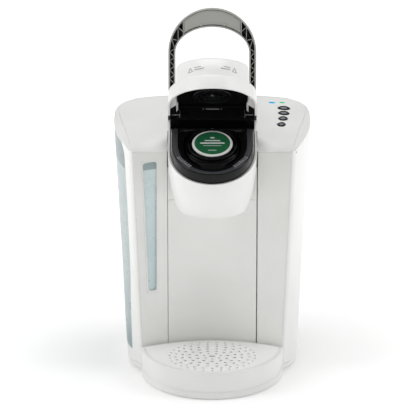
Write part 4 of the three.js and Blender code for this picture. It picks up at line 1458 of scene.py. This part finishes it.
def make_handle_ribs():
    """Zigzag ribs across the bow's hollow underside."""
    nodes = []
    for t in spread(0.06, 0.40, 17):
        outer, inner = bow_section(t, HANDLE_LIP - 0.4, 1.2)
        nodes.append(outer if len(nodes) % 2 == 0 else inner)
    points, faces = [], []
    for side in (1, -1):
        for a, b in zip(nodes, nodes[1:]):
            if abs(b[0]) < GRIP_HALF_X - 1 and b[1] > INNER_REACH:
                continue
            direction = Vector((b[0] - a[0], b[1] - a[1])).normalized()
            across = Vector((-direction.y, direction.x)) * RIB_HALF
            faces += shifted(BOX_FACES, len(points))
            for x, f in (a, b):
                low, high = handle_side(f, False) + 1.4, handle_side(f, True) - 2
                for sign in (-1, 1):
                    for up in (low, high):
                        points.append(handle_point(side * (x + across.x * sign), f + across.y * sign, up))
    new_piece("handle_ribs", points, faces, SILVER, "handle", "handle_silver")


def bow_forward(x, half, reach, drop):
    return reach - drop + drop * math.sqrt(max(0.0, 1 - (x / half) ** 2))


def make_handle_grip():
    """The filled middle of the bow with straight ends, and two clips along its inner edge."""
    loops = []
    o_in, i_in = HANDLE_LIP + 0.15, 2.5
    section = ((0, 2.4), (0, -1.6), (0.06, -0.9), (0.5, -1.3), (0.94, -0.9), (1, -1.6), (1, 2.4))
    for x in spread(-GRIP_HALF_X, GRIP_HALF_X, 48):
        outer = bow_forward(x, HANDLE_HALF - o_in, HANDLE_REACH - o_in, HANDLE_HALF - o_in)
        inner = bow_forward(x, HANDLE_INNER + i_in, INNER_REACH + i_in, INNER_DROP + i_in)
        loops.append([
            handle_point(x, mix(outer, inner, share), HANDLE_OVER - up if up > 0 else HANDLE_UNDER - up)
            for share, up in section
        ])
    points, faces = loops_mesh(loops, True, True)
    new_piece("handle_grip_fill", points, faces, SILVER, "handle", "handle_silver", ["handle_grip"])
    boxes = [((x - 1, INNER_REACH + 0.6, HANDLE_UNDER + 0.5), (x + 1, INNER_REACH + 4, HANDLE_UNDER + 2.4))
             for x in (-13, 14)]
    inner = bow_forward(GRIP_HALF_X, HANDLE_INNER, INNER_REACH, INNER_DROP)
    outer = bow_forward(GRIP_HALF_X, HANDLE_HALF, HANDLE_REACH, HANDLE_HALF)
    for end in (-GRIP_HALF_X - 0.8, GRIP_HALF_X + 0.8):
        low = (end - 0.5, inner + 1, HANDLE_UNDER + 0.6)
        boxes.append((low, (end + 0.5, outer - 1.4, HANDLE_OVER - 2.4)))
    points, faces = blocks_mesh(boxes, handle_point)
    new_piece("handle_clips", points, faces, SILVER, "handle", "handle_silver")


# ---- cup stand ----------------------------------------------------------

TRAY_HALF = TRAY_HIGH.x
TRAY_CENTRE_Y = -48
TRAY_REACH = TRAY_CENTRE_Y - TRAY_LOW.y
TRAY_TOP = TRAY_HIGH.z


TRAY_GAP = 1.2
PLATE_SHRINK = 4.6
PLATE_DEEP = 1.15


def tray_plan(shrink):
    """Half an oval in front of the machine, closed along the machine's front wall."""
    points, arc, rear = [], 72, 24
    half, reach = TRAY_HALF - shrink, TRAY_REACH - shrink
    start = 0.0
    while TRAY_CENTRE_Y - reach * math.sin(start) > front_y(half * math.cos(start)) - TRAY_GAP - shrink:
        start += 0.004
    for i in range(arc + 1):
        angle = mix(start, HALF_TURN - start, i / arc)
        points.append((half * math.cos(angle), TRAY_CENTRE_Y - reach * math.sin(angle)))
    left = points[-1][0]
    for i in range(1, rear):
        x = mix(left, -left, i / rear)
        points.append((x, front_y(x) - TRAY_GAP - shrink))
    return points


def make_tray():
    """The tray with a rounded upper edge and a fine step line low on its front."""
    profile = (
        (1.6, TRAY_LOW.z), (0.5, TRAY_LOW.z + 0.4), (0, TRAY_LOW.z + 1.4), (0, 9.2), (0.35, 9.6),
        (0.35, 10.1), (0, 10.5), (0, 20), (0, TRAY_TOP - 3), (0.35, TRAY_TOP - 1.5), (1.2, TRAY_TOP - 0.45),
        (2.4, TRAY_TOP - 0.05),
        (3.8, TRAY_TOP), (4.1, TRAY_TOP - 0.4), (4.1, TRAY_TOP - 3), (5.4, TRAY_TOP - 3), (5.6, 5), (7, 4),
    )
    loops = [[Vector((x, y, z)) for x, y in tray_plan(shrink)] for shrink, z in profile]
    points, faces = loops_mesh(loops, True, True)
    tray = new_piece("drip_tray_shell", points, faces, WHITE, "drip_tray", "white_plastic", ["drip_tray"])
    # The inner floor under the plate is painted grey as shade, so that the plate's holes look dark.
    tray.data.materials.append(GREY_MARKS_AND_SHADE)
    for face in tray.data.polygons:
        if face.normal.z > 0.5 and face.center.z < 8 * MM:
            face.material_index = 1


HOLE_CENTRE_Y = -88
HOLE_RINGS = ((10, 7, 2.0), (18.5, 11, 2.3), (27, 16, 2.3), (35.5, 20, 2.2), (43.5, 25, 2.0), (50.5, 31, 1.8))


def make_plate():
    """The perforated plate, made as a filled outline with real holes and soft edges."""
    curve = bpy.data.curves.new("plate_outline", "CURVE")
    curve.dimensions = "2D"
    curve.fill_mode = "BOTH"

    def spline(points):
        line = curve.splines.new("POLY")
        line.points.add(len(points) - 1)
        for point, (x, y) in zip(line.points, points):
            point.co = (x * MM, y * MM, 0, 1)
        line.use_cyclic_u = True

    spline(tray_plan(PLATE_SHRINK))
    spline([(x * 1.7, HOLE_CENTRE_Y + y) for x, y in circle(2.6, 20)])
    for radius, count, size in HOLE_RINGS:
        for i in range(count):
            angle = 2 * HALF_TURN * (i + 0.5) / count
            centre = (radius * math.sin(angle), HOLE_CENTRE_Y + radius * math.cos(angle))
            spline(circle(size, 12, centre))
    curve.extrude = 0.7 * MM
    curve.bevel_depth = 0.25 * MM
    curve.bevel_resolution = 1
    holder = link_object("plate_outline", curve)
    bpy.context.view_layer.update()
    mesh = bpy.data.meshes.new_from_object(holder.evaluated_get(bpy.context.evaluated_depsgraph_get()))
    bpy.data.objects.remove(holder)
    points = [Vector(v.co) / MM + Vector((0, 0, TRAY_TOP - PLATE_DEEP)) for v in mesh.vertices]
    faces = [tuple(p.vertices) for p in mesh.polygons]
    # Painted light: the plate's lighter white stands in for light the head's shade takes away.
    plate = new_piece(
        "cup_plate_top", points, faces, PLATE_LIT_WHITE, "cup_plate", "white_plastic", ["cup_plate"])
    plate.data.set_sharp_from_angle(angle=math.radians(20))


# ---- reservoir ----------------------------------------------------------

TANK_INSET = WALL + 0.5
TANK_X = -TANK_HIGH.x
TANK_TOP = 268
PIN_TURN = 1.86
PIN_Z = 273.6


def make_reservoir():
    """The clear tank: it follows the inside of the left wall and ends flat at its inner side."""
    def outline(z, shrink):
        front = turn_where(0, 1, z, lambda p: p.x > TANK_X)
        back = turn_where(3, 4, z, lambda p: p.y > TANK_HIGH.y)
        turns = joined((front, 1, 6), (1, 2, 6), (2, 3, 14), (3, back, 10))
        inner, rear = -TANK_X - shrink, TANK_HIGH.y - shrink
        points = [wall(turn, z, -1, TANK_INSET + shrink) for turn in turns]
        points = [Vector((min(p.x, inner), min(p.y, rear), z)) for p in points]
        last, first = points[-1], points[0]
        points += [Vector((mix(last.x, inner, t), rear, z)) for t in spread(0, 1, 6)[1:]]
        corner = points[-1]
        points += [corner.lerp(first, t) for t in spread(0, 1, 16)[1:-1]]
        return points

    rows = [(TANK_LOW.z, 5), (TANK_LOW.z + 0.8, 2.4), (TANK_LOW.z + 3, 0.6), (TANK_LOW.z + 6, 0)]
    rows += [(z, 0) for z in spread(TANK_LOW.z + 6, TANK_TOP, 14)[1:]]
    loops = [outline(z, shrink) for z, shrink in rows]
    points, faces = loops_mesh(loops, close_first=True)
    tank = new_piece(
        "reservoir_shell", points, faces, CLEAR, "reservoir", "clear_tank", ["reservoir_tank"],
        (-85, 45, 150))
    thicken(tank, 2.2, even=False)


def make_side_pin():
    """The small dark pin near the top of the right front corner."""
    spot = wall(PIN_TURN, PIN_Z)
    away = (wall(PIN_TURN, PIN_Z, 1, -1.0) - spot).normalized()
    turn = away.to_track_quat("Z", "Y").to_matrix()
    profile = ((1.1, -0.6), (1.1, 0.12), (0.9, 0.25), (0.4, 0.3))
    loops = [[spot + turn @ Vector((x, y, up)) for x, y in circle(r, 24)] for r, up in profile]
    points, faces = loops_mesh(loops, close_last=True)
    new_piece("side_pin", points, faces, GREY_MARKS_AND_SHADE, "housing", "white_plastic")


# ---- base and feet ------------------------------------------------------

def make_base():
    low, high = corners("base_pan")

    def outline(z, inward):
        turns = joined((0, 1, 10), (1, 2, 8), (2, 3, 12), (3, 4, 20))
        right = [wall(turn, z, 1, inward) for turn in turns]
        left = [mirror(p, -1) for p in right[1:-1]][::-1]
        return right + left

    profile = ((4, low.z), (1.2, low.z + 0.3), (0.2, low.z + 1.6), (0.001, high.z - 0.6), (0.4, high.z - 0.1),
               (WALL, high.z), (WALL + 0.3, low.z + 3))
    loops = [outline(z, inward) for inward, z in profile]
    points, faces = loops_mesh(loops, close_first=True)
    new_piece("base_pan_shell", points, faces, WHITE, "housing", "white_plastic", ["base_pan"])
    for place in ("front_left", "front_right", "rear_left", "rear_right"):
        x, y, across, _ = plan_of("foot_" + place)
        radius, top = across / 2, corners("foot_" + place)[1].z
        profile = ((radius - 1.2, 0), (radius - 0.3, 0.25), (radius, 0.9), (radius, top), (radius - 3, top))
        loops = [[Vector((*p, z)) for p in circle(r, 40, (x, y))] for r, z in profile]
        points, faces = loops_mesh(loops, True, True)
        new_piece("foot_pad_" + place, points, faces, RUBBER, "housing", "rubber", ["foot_" + place])


# ---- frame parts that stay as the CAD made them --------------------------

INNER_NODES = (
    (STEEL, "hinge_pin exit_needle hot_water_tank heating_element water_pump"),
    (DARK_STEEL, "entrance_needle"),
    (SILICONE, "needle_seal thermal_fuse check_valve cold_water_hose hot_water_hose"),
    (BLACK, "pod_holder drip_funnel tank_lid thermostat air_pump vent_valve mains_inlet"),
    (RUBBER, "reservoir_valve valve_seat"),
    (WHITE, "reservoir_bay_floor reservoir_bay_wall"),
    (BOARD, "control_board power_board"),
)


def dress_inner_nodes():
    for look, nodes in INNER_NODES:
        for node in nodes.split():
            materials = frame["nodes"][node].data.materials
            materials.clear()
            materials.append(look)


# ---- camera, light and floor ---------------------------------------------

CAMERA_PLACE = (-0.005, -3.256, 1.130)
CAMERA_DOWN = 16.1
CAMERA_LENS = 245.6


def make_camera():
    camera = link_object("camera", bpy.data.cameras.new("camera"))
    camera.location = CAMERA_PLACE
    camera.rotation_euler = (math.radians(90 - CAMERA_DOWN), 0, 0)
    camera.data.sensor_width = 36
    camera.data.lens = CAMERA_LENS
    camera.data.clip_end = 50
    bpy.context.scene.camera = camera


LIGHT_AIM = Vector((0, 0, 0.2))
SOFT_BOXES = (
    # name, place and size in metres, power in watts
    ("left_box", (-1.7, -0.6, 1.5), (1.0, 1.5), 10),
    ("right_box", (1.7, -0.4, 1.5), (1.0, 1.5), 8),
    ("key_box", (-0.9, -1.9, 1.9), (0.9, 0.9), 2.2),
    ("top_box", (0, 0.3, 2.2), (1.4, 1.2), 17.5),
)
FLOOR_REACH = 4.5


def soft_box(name, place, size, power):
    light = bpy.data.lights.new(name, "AREA")
    light.shape = "RECTANGLE"
    light.size, light.size_y = size
    light.energy = power
    lamp = link_object(name, light)
    lamp.location = place
    lamp.rotation_euler = (LIGHT_AIM - lamp.location).to_track_quat("-Z", "Y").to_euler()


def make_world():
    """A white surround, dimmer in front and behind than at the two sides."""
    world = bpy.data.worlds.new("studio")
    bpy.context.scene.world = world
    world.use_nodes = True
    tree = world.node_tree
    apart = add_node(tree, "SeparateXYZ", Vector=add_node(tree, "TexCoord").outputs["Generated"])
    aside = tree.nodes.new("ShaderNodeMath")
    aside.operation = "ABSOLUTE"
    tree.links.new(apart.outputs["X"], aside.inputs[0])
    glow = map_range(tree, aside.outputs["Value"], 0.25, 0.95, 0.29, 0.85)
    feed(tree, tree.nodes["Background"].inputs, Color=(1, 1, 1, 1), Strength=glow)


def make_floor():
    """White paper with a painted glow that grows brighter away from the machine, so that it melts into the
    background.
    """
    mesh = bpy.data.meshes.new("studio_floor")
    r = FLOOR_REACH
    mesh.from_pydata([(-r, -r, 0), (r, -r, 0), (r, r, 0), (-r, r, 0)], [], [(0, 1, 2, 3)])
    material, tree, shader, place = new_material("floor_paper")
    cloud = noise(tree, place, 3, 2)
    away = tree.nodes.new("ShaderNodeVectorMath")
    away.operation = "LENGTH"
    tree.links.new(place, away.inputs[0])
    # The floor's emission is a painted glow: weaker near the machine and stronger further off.
    feed(tree, shader, Base_Color=ramp(tree, cloud, [(0.3, (0.93, 0.93, 0.93)), (0.7, (0.95, 0.95, 0.95))]),
         Roughness=0.9, Emission_Color=(1, 1, 1, 1),
         Emission_Strength=map_range(tree, away.outputs["Value"], 0.2, 0.8, 0.14, 0.5))
    mesh.materials.append(material)
    link_object("studio_floor", mesh)


def make_studio():
    make_world()
    for settings in SOFT_BOXES:
        soft_box(*settings)
    make_floor()
    bpy.context.scene.view_settings.view_transform = "Standard"


make_camera()
make_base()
make_right_shell()
make_left_frame()
make_rear_cover()
make_right_panel()
make_left_panel()
make_slot_bezel()
make_middle_panels()
make_cap(1, "control_cap_shell", "control_cap", "housing")
make_cap(-1, "reservoir_cap_shell", "reservoir_lid", "reservoir_lid")
make_top_cover()
make_keys()
make_brew_cup()
make_brew_ring()
make_ring_marks()
make_pod()
make_hinge_block()
make_lid()
make_lid_marks()
make_handle()
make_tray()
make_plate()
make_reservoir()
make_side_pin()
dress_inner_nodes()
make_studio()
